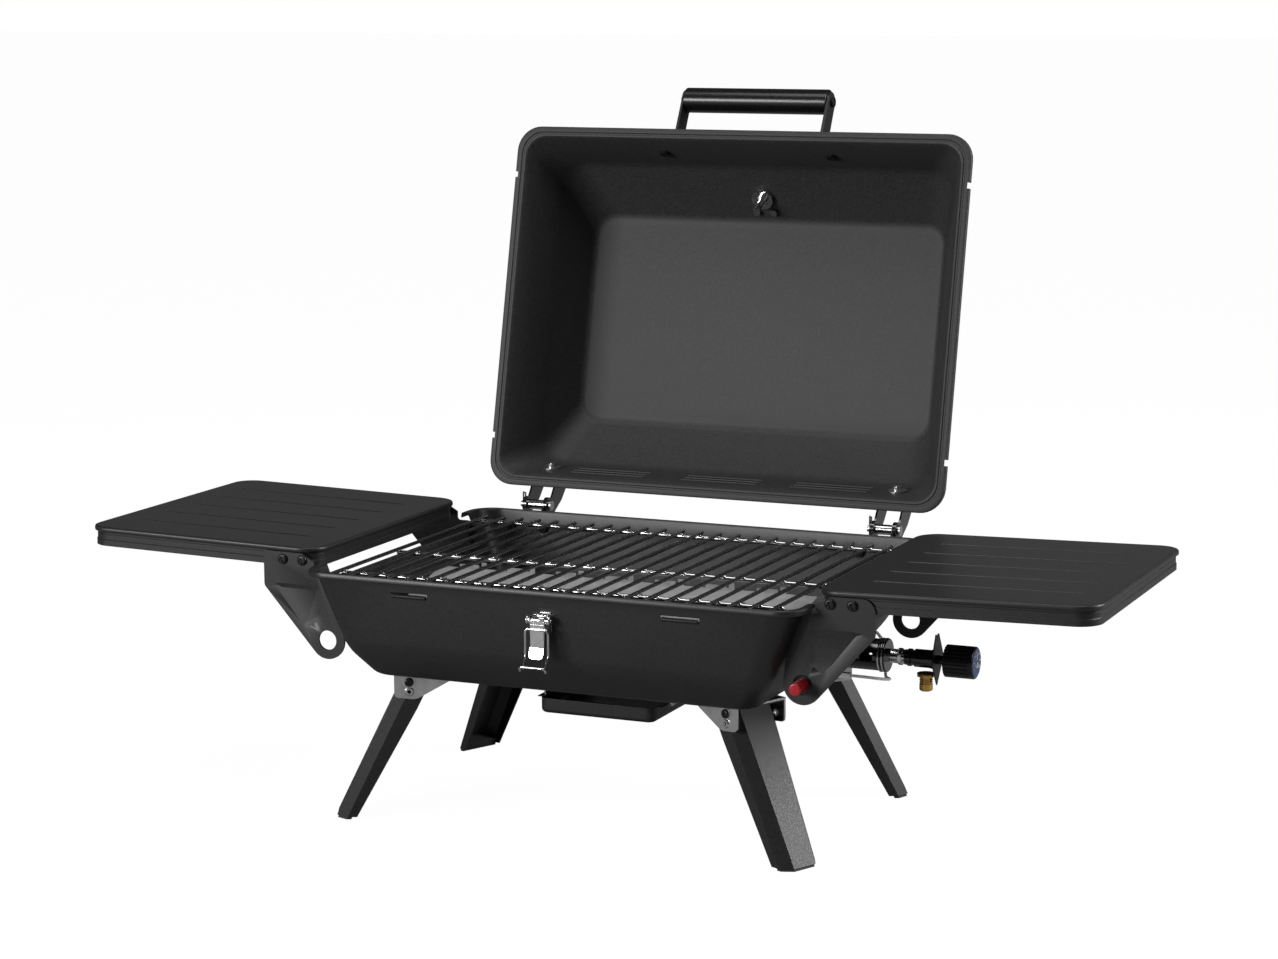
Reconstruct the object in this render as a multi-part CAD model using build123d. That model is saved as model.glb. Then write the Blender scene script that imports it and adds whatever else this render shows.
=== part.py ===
from build123d import *
import math
import os

os.makedirs("parts", exist_ok=True)

# Portable gas barbecue grill with an open lid, two side tables and four folding legs.
# Millimetres, +Z up, -Y to the front. It stands on z = 0, and x = 0 is its middle.

# ---- shared clearances and fasteners ----
slip = 0.3                      # air between parts that move past each other
running_fit = 0.08              # radial clearance of a pin or shaft in its hole
screw_head_radius = 4.75
screw_head_height = 2.6
screw_shank_radius = 2.5
nut_radius = 4.6
nut_height = 3.5
drill_reach = 9.0               # cutting length either way through a wall

# ---- firebox tub ----
sheet = 1.5
rim_z = 235.5
rim_half_width = 240.0
rim_half_depth = 181.75
rim_corner = 25.0
rim_lip_height = 5.5
mouth_step = 7.2                # from the rim's end in to the mouth
mouth_half_width = rim_half_width - mouth_step
mouth_half_depth = 180.0
mouth_corner = 23.0
crease_z = 165.0
crease_step = 34.0
crease_half_width = rim_half_width - crease_step
crease_half_depth = 171.0
crease_corner = 22.0
floor_z = 138.0
floor_step = 55.0
floor_half_width = rim_half_width - floor_step
floor_half_depth = 150.0
floor_corner = 18.0
end_cut_half_length = 142.0
end_cut_depth = 13.5
slot_inner_x = 112.0
slot_outer_x = 148.0
slot_drop = 16.0                # from the rim down to the lower lip of a lanced slot
slot_height = 3.0
slot_ledge = 7.0
drain_radius = 15.0

# ---- burner and what stands over it ----
burner_z = 163.0
burner_radius = 12.5
burner_wall = 1.2
burner_left_spare = 1.0         # beyond the tub's floor
burner_right_step = 14.0        # short of the rim's end
burner_left_x = -floor_half_width - burner_left_spare
burner_right_x = rim_half_width - burner_right_step
burner_bracket_x = (-171.0, 150.0)
burner_bracket_half_depth = 26.0
tamer_ridge_z = 211.0
tamer_step = 51.0               # from the rim's end
tamer_half_length = rim_half_width - tamer_step
tamer_half_depth = 85.0
tamer_slope = 0.22
tamer_sheet = 1.2
tamer_slot_count = 12           # along each slope
tamer_slot_pitch = 29.0
tamer_slot_width = 6.0
tamer_slot_turn = 35.0          # degrees away from the grill's depth
tamer_slot_length = 44.0
tamer_slot_middle = 44.0        # from the ridge

# ---- cooking grate ----
grate_rods = 23
grate_end_step = 29.35          # from the rim's end in to the last rod
grate_pitch = 2 * (rim_half_width - grate_end_step) / (grate_rods - 1)
grate_rod_radius = 1.75
grate_bar_radius = 2.1
grate_weld = 0.25               # how far the rods sink into the bars
grate_top_drop = 0.5            # below the rim
grate_front_y = -174.5
grate_rear_y = 142.0
grate_bar_step = 26.0
grate_bar_half_length = rim_half_width - grate_bar_step
grate_bars_y = (-147.0, -41.3, 134.4)
rest_width = 12.0
rest_reach = 22.0
rest_leg = 18.0

# ---- side tables and their brackets ----
table_centre_y = -3.0
table_inner_x = rim_half_width
table_length = 246.8
cut_reach = rim_half_width + table_length   # half size of the block that trims the legs at the ground
table_half_depth = 144.6
table_top_z = 248.8
table_tilt = 1.15               # degrees, rising outwards
table_corner = 22.0
table_sheet = 1.2
table_roll_height = 5.0
table_roll_overhang = 2.0
table_roll_fillet = 2.2
table_skirt_height = 18.0
groove_count = 5
groove_pitch = 46.4
groove_margin = 31.8
groove_end_margin = 21.5
groove_width = 5.0
groove_depth = 1.4
flange_sheet = 2.0
flange_reach = 55.0             # out from the rim's end
flange_outer_x = rim_half_width + flange_reach
flange_knee_z = 212.0
flange_notch_step = 3.0
flange_notch_x = rim_half_width + flange_notch_step
flange_notch_top_z = 236.5
flange_notch_bottom_z = 228.0
flange_chamfer_step = 15.6
flange_chamfer_x = rim_half_width + flange_chamfer_step
flange_lobe_step = 9.8
flange_lobe_x = rim_half_width - flange_lobe_step
flange_lobe_z = 165.5
flange_lobe_radius = 17.5
flange_hole_radius = 9.0
left_flange_corner = 3.0
right_flange_corner = 12.0
web_bottom_z = 188.0
web_top_z = 218.0
table_screw_step = 14.8         # from the rim's end out to the first screw
table_screw_pitch = 20.0
table_screw_x = (rim_half_width + table_screw_step, rim_half_width + table_screw_step + table_screw_pitch)
table_screw_z = 237.7
table_screw_length = 6.0
web_bolt_z = 203.0
web_bolt_y = 95.0

# ---- folding legs ----
leg_inset_x = 18.0              # from the edge of the tub's floor
leg_inset_y = 43.0
leg_pivot_drop = 16.5
leg_pivot_x = floor_half_width - leg_inset_x
leg_pivot_y = floor_half_depth - leg_inset_y
leg_pivot_z = floor_z - leg_pivot_drop
leg_heading = 25.0              # degrees, plan direction of the splay away from the X axis
leg_splay = 26.0                # degrees from the vertical
leg_sheet = 1.5
leg_web_offset = 9.5            # from the pivot out to the face of the web
leg_top = 9.0                   # above the pivot, along the leg
leg_web_half = (12.5, 18.0)     # foot end, top end
leg_half_width = (21.5, 27.0)
leg_chamfer_depth = 9.0
leg_depth_foot = 16.0
leg_depth_top = 23.0
leg_lift = 2.5                  # the steel ends this far above the ground
leg_head_slant = 5.0            # clipped corner at the top of each flange
leg_head_drop = 6.0
leg_back_spare = 10.0           # cutting length behind the channel
foot_height = 20.0
foot_depth = 13.0
leg_bolt_radius = 3.0
ear_gap = 0.4
ear_sheet = 2.0
ear_outward = 13.7
ear_inward = 38.5
ear_drop = 22.0
ear_tail_drop = 6.0
ear_flat = 6.0

# ---- drip tray ----
tray_half_width = 57.0
tray_half_depth = 66.0
tray_top_z = 110.0
tray_height = 14.0
tray_corner = 8.0
tray_sheet = 1.0
tray_lip = 5.0
rail_front_y = -40.0
rail_rear_y = 60.0
rail_sheet = 1.5

# ---- lid, given closed ----
lid_gap = 0.5
lid_sheet = 1.2
lid_mouth_step = 11.0           # from the rim's end
lid_mouth_half_width = rim_half_width - lid_mouth_step
lid_mouth_half_depth = 171.2
lid_mouth_corner = 20.0
lid_knee_height = 55.0
lid_knee_step = 32.5
lid_knee_half_width = rim_half_width - lid_knee_step
lid_knee_half_depth = 155.2
lid_knee_corner = 28.0
lid_height = 100.0
lid_top_step = 50.0
lid_top_half_width = rim_half_width - lid_top_step
lid_top_half_depth = 106.2
lid_top_corner = 24.0
lid_notch_y = 132.7
lid_notch_width = 6.0
lid_notch_depth = 3.0
louvre_x = (-120.0, 0.0, 115.0)
louvre_length = 80.0
louvre_width = 2.5
louvre_heights = (20.0, 29.0, 38.0)
lid_open_angle = 103.0

# ---- lid hinges ----
hinge_y = 200.0
hinge_z = 237.5
hinge_x = 183.5
hinge_pin_radius = 3.0
hinge_eye_radius = 8.0
hinge_sheet = 2.0
hinge_arm_inner = 11.3          # from the hinge's middle to the inside of a lid arm
hinge_web_bottom = 20.0         # above the lid's rim
hinge_web_top = 48.0
hinge_nut_height = 29.0
hinge_tab_radius = 9.0
hinge_tab_sheet = 1.5
hinge_nut_end = 6.0             # the bolt ends this far inside the lid
hinge_nut_air = 0.2
hinge_bolt_x = 17.5
hinge_bolt_drop = 16.5
hinge_plate_top_drop = 6.5
hinge_plate_bottom_drop = 27.5
hinge_plate_half_width = 25.5
hinge_pin_tail = 4.0            # the pin stands out this far beyond the left arm
hinge_head_radius = 5.0
hinge_head_height = 2.5
clip_step = 2.2                 # from the left arm out to the clip
clip_wire_radius = 0.8
clip_height = 12.0

# ---- lid handle ----
handle_x = 77.0
handle_foot_x = 88.5
handle_foot_height = 27.0       # above the lid's rim
handle_tube_y = -218.2
handle_tube_height = 42.0
handle_tube_radius = 12.5
handle_sheet = 2.5
handle_arm_width = 20.0

# ---- thermometer ----
thermometer_height = 80.0
thermometer_radius = 28.0
thermometer_depth = 9.0
thermometer_stem_radius = 3.5
thermometer_stem_length = 24.0
thermometer_nut_radius = 11.0
thermometer_nut_height = 4.0
thermometer_pin_x = 9.0
thermometer_pin_height = 91.0
thermometer_pin_radius = 2.0
thermometer_pin_head = 3.5
thermometer_pin_length = 5.0

# ---- front latch ----
latch_pivot_drop = 25.5         # below the rim
latch_pivot_out = 7.5           # in front of the wall
latch_barrel_half = 8.0
latch_pin_radius = 1.8
latch_barrel_radius = 3.6
latch_plate_half_width = 13.0
latch_plate_above = 12.0
latch_plate_below = 14.0
latch_cheek = 1.8
lever_length = 34.0
lever_half_top = 7.2
lever_half_bottom = 6.6
lever_sheet = 1.6
bail_drop = 7.5                 # bail pivot below the lever's
bail_half_width = 11.0
bail_straight = 23.5            # from the pivot down to the bend
bail_length = 34.5              # from the pivot down to the tip of the hook
bail_hook_out = 7.5
bail_hook_back = 2.0
bail_hook_reach = 3.0
bail_wire_radius = 1.2

# ---- gas train ----
venturi_radius = 14.3
venturi_step = 29.0             # starts this far inside the rim's end
venturi_length = 41.0
venturi_left_x = rim_half_width - venturi_step
venturi_right_x = venturi_left_x + venturi_length
collar_radius = 15.2
collar_length = 5.0
collar_right_x = venturi_right_x + collar_length
coupling_radius = 6.5
coupling_length = 16.0
coupling_right_x = collar_right_x + coupling_length
coupling_nut_radius = 8.1
coupling_nut_length = 6.0
valve_radius = 8.5
valve_length = 28.0
valve_right_x = coupling_right_x + valve_length
elbow_step = 9.0                # from the valve's right end
elbow_x = valve_right_x - elbow_step
elbow_radius = 7.6
elbow_bottom_z = 150.0
nipple_hex_radius = 8.3
nipple_hex_height = 4.5
nipple_radius = 6.0
nipple_length = 11.5
plate_sheet = 2.0
plate_right_x = valve_right_x + plate_sheet
plate_half_height = 23.0
plate_half_width = 16.0
plate_notch = 6.0
knob_air = 8.0                  # between the plate and the knob
knob_length = 27.0
knob_left_x = plate_right_x + knob_air
knob_right_x = knob_left_x + knob_length
knob_radius = 14.5
knob_ribs = 24
knob_rib_radius = 0.7
knob_stem_radius = 4.0
cap_radius = 12.6
cap_depth = 1.6

# ---- igniter ----
bezel_radius = 13.0
bezel_depth = 5.5
igniter_radius = 8.8
igniter_rear_y = -84.0
igniter_nut_radius = 13.0
igniter_nut_height = 5.0
button_radius = 5.6
button_proud = 14.0
button_travel = 4.0
button_seat = 10.0
terminal_step = 10.0            # out from the rim's end
terminal_end_x = rim_half_width + terminal_step
terminal_start = 3.0              # starts this far inside the igniter's middle
terminal_z = 161.5
terminal_half_height = 2.2
terminal_depth = 5.0
lead_diameter = 2.8
grommet_radius = 4.0
grommet_proud = 5.0
grommet_y = 37.0
grommet_z = 178.0
electrode_radius = 2.6
electrode_length = 74.0

# The igniter lead: out of the terminal, forward of the venturi, under it and up to the grommet.
lead_points = [
    (terminal_end_x, -81.5, 161.5),
    (terminal_end_x + 12.0, -81.5, 161.5),
    (terminal_end_x + 24.0, -68.0, 157.5),
    (terminal_end_x + 24.5, -45.0, 152.5),
    (terminal_end_x + 12.5, -21.0, 147.5),
    (terminal_end_x + 3.0, 2.0, 144.0),
    (terminal_end_x - 3.0, 23.5, 152.0),
    (terminal_end_x - 9.0, 33.5, 167.0),
    (terminal_end_x - 20.0, 37.0, 178.0),
    (terminal_end_x - 34.0, 37.0, 178.0),
]


# ---- shape helpers ----
def block(x_range, y_range, z_range):
    """Rectangular block between two corners."""
    ranges = (x_range, y_range, z_range)
    sizes = [high - low for low, high in ranges]
    centre = [(low + high) / 2 for low, high in ranges]
    return Pos(*centre) * Box(*sizes)


def bar(start, end, radius):
    """Round bar from one point to another."""
    direction = Vector(*end) - Vector(*start)
    plane = Plane(origin=start, z_dir=direction)
    base = (Align.CENTER, Align.CENTER, Align.MIN)
    return plane * Cylinder(radius, direction.length, align=base)


def bar_x(x_range, y, z, radius):
    """Round bar along X."""
    return bar((x_range[0], y, z), (x_range[1], y, z), radius)


def tube(start, end, radius, wall):
    """Round tube, open at both ends."""
    return bar(start, end, radius) - bar(start, end, radius - wall)


def plate_xz(points, y_range):
    """Plate whose outline lies in the XZ plane, between two depths."""
    outline = Polyline([(x, y_range[0], z) for x, z in points], close=True)
    return extrude(make_face(outline), amount=y_range[1] - y_range[0], dir=(0, 1, 0))


def plate_yz(points, x_range):
    """Plate whose outline lies in the YZ plane, between two widths."""
    outline = Polyline([(x_range[0], y, z) for y, z in points], close=True)
    return extrude(make_face(outline), amount=x_range[1] - x_range[0], dir=(1, 0, 0))


def slab(half_width, half_depth, corner, z_range):
    """Rounded rectangular slab."""
    face = Pos(0, 0, z_range[0]) * RectangleRounded(2 * half_width, 2 * half_depth, corner)
    return extrude(face, amount=z_range[1] - z_range[0], dir=(0, 0, 1))


def tapered(levels):
    """Solid with straight sides through rounded rectangles, each (half width, half depth, corner, z)."""
    faces = [Pos(0, 0, z) * RectangleRounded(2 * wide, 2 * deep, corner) for wide, deep, corner, z in levels]
    return loft(faces, ruled=True)


def mirror_x(shape):
    """The same shape on the other side of the YZ plane."""
    return mirror(shape, about=Plane.YZ)


def both_sides(shape):
    """A shape and its mirror image left of the middle, kept apart."""
    return [shape, mirror_x(shape)]


def joined(shapes):
    """One shape from parts that touch."""
    total = shapes[0]
    for shape in shapes[1:]:
        total = total + shape
    return total


def straight(share, low, high):
    """Values a share of the way from one row of values to another."""
    return [a + share * (b - a) for a, b in zip(low, high)]


# ---- firebox ----
def tub_level(z):
    """Half width, half depth and corner radius of the tub's outside at a height."""
    mouth = (mouth_half_width, mouth_half_depth, mouth_corner)
    crease = (crease_half_width, crease_half_depth, crease_corner)
    floor = (floor_half_width, floor_half_depth, floor_corner)
    if z >= crease_z:
        return straight((z - crease_z) / (rim_z - crease_z), crease, mouth)
    return straight((z - floor_z) / (crease_z - floor_z), floor, crease)


def end_wall_x(z):
    """Outside of the tub's end wall at a height."""
    return tub_level(z)[0]


def front_wall_y(z):
    """Outside of the tub's front wall at a height."""
    return -tub_level(z)[1]


def tub_skin(heights, inset):
    """Solid inside the tub's outline moved in by a wall, through the given heights."""
    levels = []
    for z in heights:
        half_width, half_depth, corner = tub_level(z)
        levels.append((half_width - inset, half_depth - inset, corner - inset, z))
    return tapered(levels)


def lanced_slots():
    """Slots in the front and rear walls, as cutters, and the ledges pressed in below them."""
    z = rim_z - slot_drop
    reach = tub_level(z)[1]
    cutters = []
    ledges = []
    for side in (-1, 1):
        for face in (-1, 1):
            x_range = sorted((side * slot_inner_x, side * slot_outer_x))
            cut_y = sorted((face * (reach - slot_ledge), face * (reach + slot_ledge)))
            ledge_y = sorted((face * (reach - slot_ledge), face * (reach - sheet / 2)))
            cutters.append(block(x_range, cut_y, (z, z + slot_height)))
            ledges.append(block(x_range, ledge_y, (z - sheet, z)))
    return cutters, ledges


def hinge_bolt_points():
    """Middle of each hinge bolt on the outside of the rear wall."""
    z = rim_z - hinge_bolt_drop
    y = -front_wall_y(z)
    return [(side * hinge_x + step, y, z) for side in (-1, 1) for step in (-hinge_bolt_x, hinge_bolt_x)]


def web_bolt_points():
    """Middle of each table bracket bolt on the outside of the right end wall."""
    return [(end_wall_x(web_bolt_z), table_centre_y + side * web_bolt_y, web_bolt_z) for side in (-1, 1)]


def latch_rivet_points():
    """Middle of each latch rivet on the outside of the front wall."""
    z = rim_z - latch_pivot_drop - latch_plate_below + screw_head_radius
    return [(side * latch_plate_half_width / 2, front_wall_y(z), z) for side in (-1, 1)]


def tub_drills():
    """Cutters for every bolt and tube that passes through the tub's walls."""
    hole = screw_shank_radius + running_fit
    drills = []
    for x, y, z in hinge_bolt_points():
        drills.append(bar((x, y - 3 * sheet, z), (x, y + 3 * sheet, z), hole))
    for x, y, z in web_bolt_points():
        drill = bar((x - 3 * sheet, y, z), (x + 3 * sheet, y, z), hole)
        drills.extend(both_sides(drill))
    for x, y, z in latch_rivet_points():
        drills.append(bar((x, y - 3 * sheet, z), (x, y + 3 * sheet, z), hole))
    end_x = end_wall_x(burner_z)
    drills.append(bar((end_x - burner_radius - 9, 0, burner_z), (end_x + burner_radius, 0, burner_z),
                      burner_radius + slip))
    end_x = end_wall_x(grommet_z)
    drills.append(bar((end_x - 9, grommet_y, grommet_z), (end_x + 9, grommet_y, grommet_z),
                      grommet_radius + running_fit))
    drills.append(bar((0, 0, floor_z - sheet), (0, 0, floor_z + 3 * sheet), drain_radius))
    return drills


def firebox_tub():
    """Pressed tub: tapered walls, flanged rim, cut-down ends, lanced slots and holes."""
    heights = (rim_z, crease_z, floor_z)
    flange = slab(rim_half_width, rim_half_depth, rim_corner, (rim_z - sheet, rim_z))
    lip = slab(rim_half_width, rim_half_depth, rim_corner, (rim_z - rim_lip_height, rim_z))
    lip = lip - slab(rim_half_width - sheet, rim_half_depth - sheet, rim_corner - sheet,
                     (rim_z - rim_lip_height, rim_z))
    tub = tub_skin(heights, 0) + flange + lip
    tub = tub - tub_skin((rim_z, crease_z, floor_z + sheet), sheet)
    cutters, ledges = lanced_slots()
    for cutter in cutters:
        tub = tub - cutter
    for ledge in ledges:
        tub = tub + ledge
    end = block((crease_half_width, rim_half_width + 1), (-end_cut_half_length, end_cut_half_length),
                (rim_z - end_cut_depth, rim_z + 1))
    for cutter in both_sides(end) + tub_drills():
        tub = tub - cutter
    return tub


def grate_rod_z():
    """Height of the middle of the grate's rods."""
    return rim_z - grate_top_drop - grate_rod_radius


def grate_bar_z():
    """Height of the middle of the bars under the rods."""
    return grate_rod_z() - grate_rod_radius - grate_bar_radius + grate_weld


def grate_rest(y):
    """Pressed angle on the right end wall that carries the end of a grate bar."""
    top = grate_bar_z() - grate_bar_radius - slip
    low = top - rest_leg
    inner_top = end_wall_x(top) - sheet
    inner_low = end_wall_x(low) - sheet
    points = [
        (inner_top, top),
        (inner_top - rest_reach, top),
        (inner_top - rest_reach, top - flange_sheet),
        (inner_top - 2 * flange_sheet, top - flange_sheet),
        (inner_low - flange_sheet, low),
        (inner_low, low),
    ]
    return plate_xz(points, (y - rest_width / 2, y + rest_width / 2))


def grate_rests():
    """Four rests, under the first and last bar of the grate."""
    rests = []
    for y in (grate_bars_y[0], grate_bars_y[-1]):
        rests.extend(both_sides(grate_rest(y)))
    return rests


def cooking_grate():
    """Plated rods from front to rear, welded on three bars."""
    middle = (grate_rods - 1) / 2
    pieces = []
    for y in grate_bars_y:
        ends = [(side * grate_bar_half_length, y, grate_bar_z()) for side in (-1, 1)]
        pieces.append(bar(*ends, grate_bar_radius))
    rods = []
    for index in range(grate_rods):
        x = (index - middle) * grate_pitch
        front = (x, grate_front_y, grate_rod_z())
        rods.append(bar(front, (x, grate_rear_y, grate_rod_z()), grate_rod_radius))
    return pieces[0].fuse(*pieces[1:], *rods)


def burner_tube():
    """Straight burner along the tub, closed at its left end."""
    right = (burner_right_x, 0, burner_z)
    outer = bar((burner_left_x, 0, burner_z), right, burner_radius)
    return outer - bar((burner_left_x + burner_wall, 0, burner_z), right, burner_radius - burner_wall)


def tamer_underside(y):
    """Height of the flame tamer's lower face."""
    return tamer_ridge_z - tamer_sheet - tamer_slope * abs(y)


def burner_brackets():
    """Two plates that stand on the floor, hold the burner and carry the flame tamer."""
    side = burner_bracket_half_depth
    outline = [(-side, floor_z + sheet), (side, floor_z + sheet), (side, tamer_underside(side)),
               (0, tamer_underside(0)), (-side, tamer_underside(side))]
    brackets = []
    for x in burner_bracket_x:
        plate = plate_yz(outline, (x, x + flange_sheet))
        hole = bar((x - 1, 0, burner_z), (x + flange_sheet + 1, 0, burner_z), burner_radius + running_fit)
        brackets.append(plate - hole)
    return brackets


def flame_tamer():
    """Sheet roof over the burner, with a row of openings along each slope."""
    side = tamer_half_depth
    outline = [(-side, tamer_underside(side)), (0, tamer_underside(0)), (side, tamer_underside(side)),
               (side, tamer_underside(side) + tamer_sheet), (0, tamer_ridge_z),
               (-side, tamer_underside(side) + tamer_sheet)]
    tamer = plate_yz(outline, (-tamer_half_length, tamer_half_length))
    slot = Box(tamer_slot_width, tamer_slot_length, tamer_ridge_z)
    for index in range(tamer_slot_count):
        x = (index - (tamer_slot_count - 1) / 2) * tamer_slot_pitch
        for face in (-1, 1):
            place = Pos(x, face * tamer_slot_middle, tamer_ridge_z) * Rot(0, 0, face * tamer_slot_turn)
            tamer = tamer - place * slot
    return tamer


# ---- side tables ----
def table_frame():
    """Place of the right table: its inner edge at the rim's end, rising outwards."""
    return Pos(table_inner_x, table_centre_y, table_top_z) * Rot(0, -table_tilt, 0)


def side_table():
    """Right table in its own frame: rolled edge, skirt, thin top and pressed grooves."""
    middle = Pos(table_length / 2, 0, 0)
    skirt_half_length = table_length / 2 - table_roll_overhang
    skirt_half_depth = table_half_depth - table_roll_overhang
    skirt_corner = table_corner - table_roll_overhang
    roll = slab(table_length / 2, table_half_depth, table_corner, (-table_roll_height, 0))
    roll = fillet(roll.edges().filter_by(Plane.XY), table_roll_fillet)
    skirt = slab(skirt_half_length, skirt_half_depth, skirt_corner, (-table_skirt_height, -table_sheet))
    hollow = slab(skirt_half_length - table_sheet, skirt_half_depth - table_sheet, skirt_corner - table_sheet,
                  (-table_skirt_height, -table_sheet))
    top = middle * (roll + skirt - hollow)
    length = table_length - groove_margin - groove_end_margin
    for index in range(groove_count):
        y = (index - (groove_count - 1) / 2) * groove_pitch
        place = Pos(groove_margin + length / 2, y, 0)
        rib = Pos(0, 0, -groove_depth - table_sheet) * SlotOverall(length + 2 * table_sheet,
                                                                   groove_width + 2 * table_sheet)
        top = top + place * extrude(rib, amount=groove_depth, dir=(0, 0, 1))
        groove = Pos(0, 0, -groove_depth) * SlotOverall(length, groove_width)
        top = top - place * extrude(groove, amount=groove_depth, dir=(0, 0, 1))
    return top


def flange_depths():
    """Depth ranges of the front and the rear flange, against the table's skirts."""
    skirt = table_half_depth - table_roll_overhang
    front = (table_centre_y - skirt - flange_sheet, table_centre_y - skirt)
    rear = (table_centre_y + skirt, table_centre_y + skirt + flange_sheet)
    return front, rear


def roll_bottom_z(x):
    """Height of the lower edge of the table's rolled rim at a width, less a hair of air."""
    rise = (x - table_inner_x) * math.tan(math.radians(table_tilt))
    return table_top_z - table_roll_height + rise - slip


def lobe_tangent(x, z, way):
    """Where a line from a point outside the lobe touches it; way is 1 or -1 for the side."""
    step_x = x - flange_lobe_x
    step_z = z - flange_lobe_z
    turn = way * math.acos(flange_lobe_radius / math.hypot(step_x, step_z))
    angle = math.atan2(step_z, step_x) + turn
    touch_x = flange_lobe_x + flange_lobe_radius * math.cos(angle)
    touch_z = flange_lobe_z + flange_lobe_radius * math.sin(angle)
    return touch_x, touch_z


def bracket_flange(y_range, corner):
    """One flange of the right bracket: from the table down to the round lobe beside the tub."""
    points = [
        (flange_outer_x, roll_bottom_z(flange_outer_x)),
        (flange_chamfer_x, roll_bottom_z(flange_chamfer_x)),
        (flange_notch_x, flange_notch_top_z),
        (flange_notch_x, flange_notch_bottom_z),
        (end_wall_x(flange_notch_bottom_z) + slip, flange_notch_bottom_z),
        (end_wall_x(web_bottom_z) + slip, web_bottom_z),
        lobe_tangent(end_wall_x(web_bottom_z) + slip, web_bottom_z, 1),
        lobe_tangent(flange_outer_x, flange_knee_z, -1),
        (flange_outer_x, flange_knee_z),
    ]
    radii = [corner, 1.0, 1.0, 3.0, 2.0, 2.0, 0.5, 0.5, 6.0]
    outline = FilletPolyline(*[(x, y_range[0], z) for x, z in points], radius=radii, close=True)
    flange = extrude(make_face(outline), amount=y_range[1] - y_range[0], dir=(0, 1, 0))
    lobe_ends = [(flange_lobe_x, y, flange_lobe_z) for y in y_range]
    flange = flange + bar(*lobe_ends, flange_lobe_radius)
    hole = bar((flange_lobe_x, y_range[0] - 1, flange_lobe_z), (flange_lobe_x, y_range[1] + 1, flange_lobe_z),
               flange_hole_radius)
    return flange - hole


def table_screw_points():
    """Each table screw: its middle on the outside of a flange, and the way out."""
    front, rear = flange_depths()
    points = []
    for x in table_screw_x:
        points.append(((x, front[0], table_screw_z), -1))
        points.append(((x, rear[1], table_screw_z), 1))
    return points


def table_screw_drills(clearance):
    """Shanks of the right table's screws, wider by a clearance."""
    drills = []
    for (x, y, z), out in table_screw_points():
        drills.append(bar((x, y, z), (x, y - out * table_screw_length, z), screw_shank_radius + clearance))
    return drills


def table_screws():
    """Pan-head screws through the flanges and skirts of both tables."""
    screws = []
    for ((x, y, z), out), shank in zip(table_screw_points(), table_screw_drills(0)):
        head = bar((x, y, z), (x, y + out * screw_head_height, z), screw_head_radius)
        head = fillet(head.edges().sort_by(Axis.Y)[0 if out < 0 else -1], screw_head_height / 2)
        screws.extend(both_sides(head + shank))
    return screws


def table_bracket(corner):
    """Right bracket: two flanges joined by a web on the tub's end wall."""
    front, rear = flange_depths()
    web_points = [
        (end_wall_x(web_bottom_z), web_bottom_z),
        (end_wall_x(web_bottom_z) + flange_sheet, web_bottom_z),
        (end_wall_x(web_top_z) + flange_sheet, web_top_z),
        (end_wall_x(web_top_z), web_top_z),
    ]
    bracket = plate_xz(web_points, (front[0], rear[1]))
    bracket = bracket + bracket_flange(front, corner) + bracket_flange(rear, corner)
    for drill in table_screw_drills(running_fit):
        bracket = bracket - drill
    for x, y, z in web_bolt_points():
        bracket = bracket - bar_x((x - drill_reach, x + drill_reach), y, z, screw_shank_radius + running_fit)
    return bracket


def placed_table():
    """Right table in its place, drilled for its screws."""
    table = table_frame() * side_table()
    for drill in table_screw_drills(running_fit):
        table = table - drill
    return table


def table_bracket_bolts():
    """Bolts that hold the bracket webs to the end walls, with a nut inside."""
    bolts = []
    lean = (mouth_half_width - crease_half_width) / (rim_z - crease_z)
    spare = lean * screw_head_radius
    for x, y, z in web_bolt_points():
        outside = x + flange_sheet + spare
        inside = x - sheet - spare
        shank = bar((inside - nut_height, y, z), (outside, y, z), screw_shank_radius)
        head = bar((outside, y, z), (outside + screw_head_height, y, z), screw_head_radius)
        nut = bar((inside - nut_height, y, z), (inside, y, z), nut_radius)
        bolts.extend(both_sides(shank + head + nut))
    return bolts


# ---- legs ----
def leg_place(side, end):
    """Frame of a leg at its pivot: X along the web's normal, Y along the pivot, Z up along the leg."""
    heading = math.radians(leg_heading)
    splay = math.radians(leg_splay)
    outward = Vector(side * math.cos(heading), end * math.sin(heading), 0)
    upward = outward * -math.sin(splay) + Vector(0, 0, math.cos(splay))
    normal = outward * math.cos(splay) + Vector(0, 0, math.sin(splay))
    origin = (side * leg_pivot_x, end * leg_pivot_y, leg_pivot_z)
    return Plane(origin=origin, x_dir=normal, z_dir=upward)


def bracket_place(side, end):
    """Frame of a leg bracket at the pivot: X outwards in plan, Z up."""
    heading = math.radians(leg_heading)
    outward = Vector(side * math.cos(heading), end * math.sin(heading), 0)
    origin = (side * leg_pivot_x, end * leg_pivot_y, leg_pivot_z)
    return Plane(origin=origin, x_dir=outward, z_dir=(0, 0, 1))


def leg_length():
    """From the pivot down the leg to below the ground, before it is trimmed."""
    return leg_pivot_z / math.cos(math.radians(leg_splay)) + leg_web_offset


def leg_section(z, web_half, half_width, inset):
    """Channel outline across a leg, open depth behind it, moved in by a wall."""
    face_x = leg_web_offset - inset
    shoulder_x = leg_web_offset - leg_chamfer_depth
    back_x = -leg_depth_top - leg_back_spare
    web = web_half - inset * math.tan(math.radians(22.5))
    side = half_width - inset
    points = [(face_x, -web), (face_x, web), (shoulder_x, side), (back_x, side), (back_x, -side),
              (shoulder_x, -side)]
    return Pos(0, 0, z) * make_face(Polyline([(x, y, 0) for x, y in points], close=True))


def leg_channel(inset):
    """Tapered solid inside the channel's outline."""
    foot = leg_section(-leg_length(), leg_web_half[0], leg_half_width[0], inset)
    top = leg_section(leg_top, leg_web_half[1], leg_half_width[1], inset)
    return loft([foot, top], ruled=True)


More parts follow.
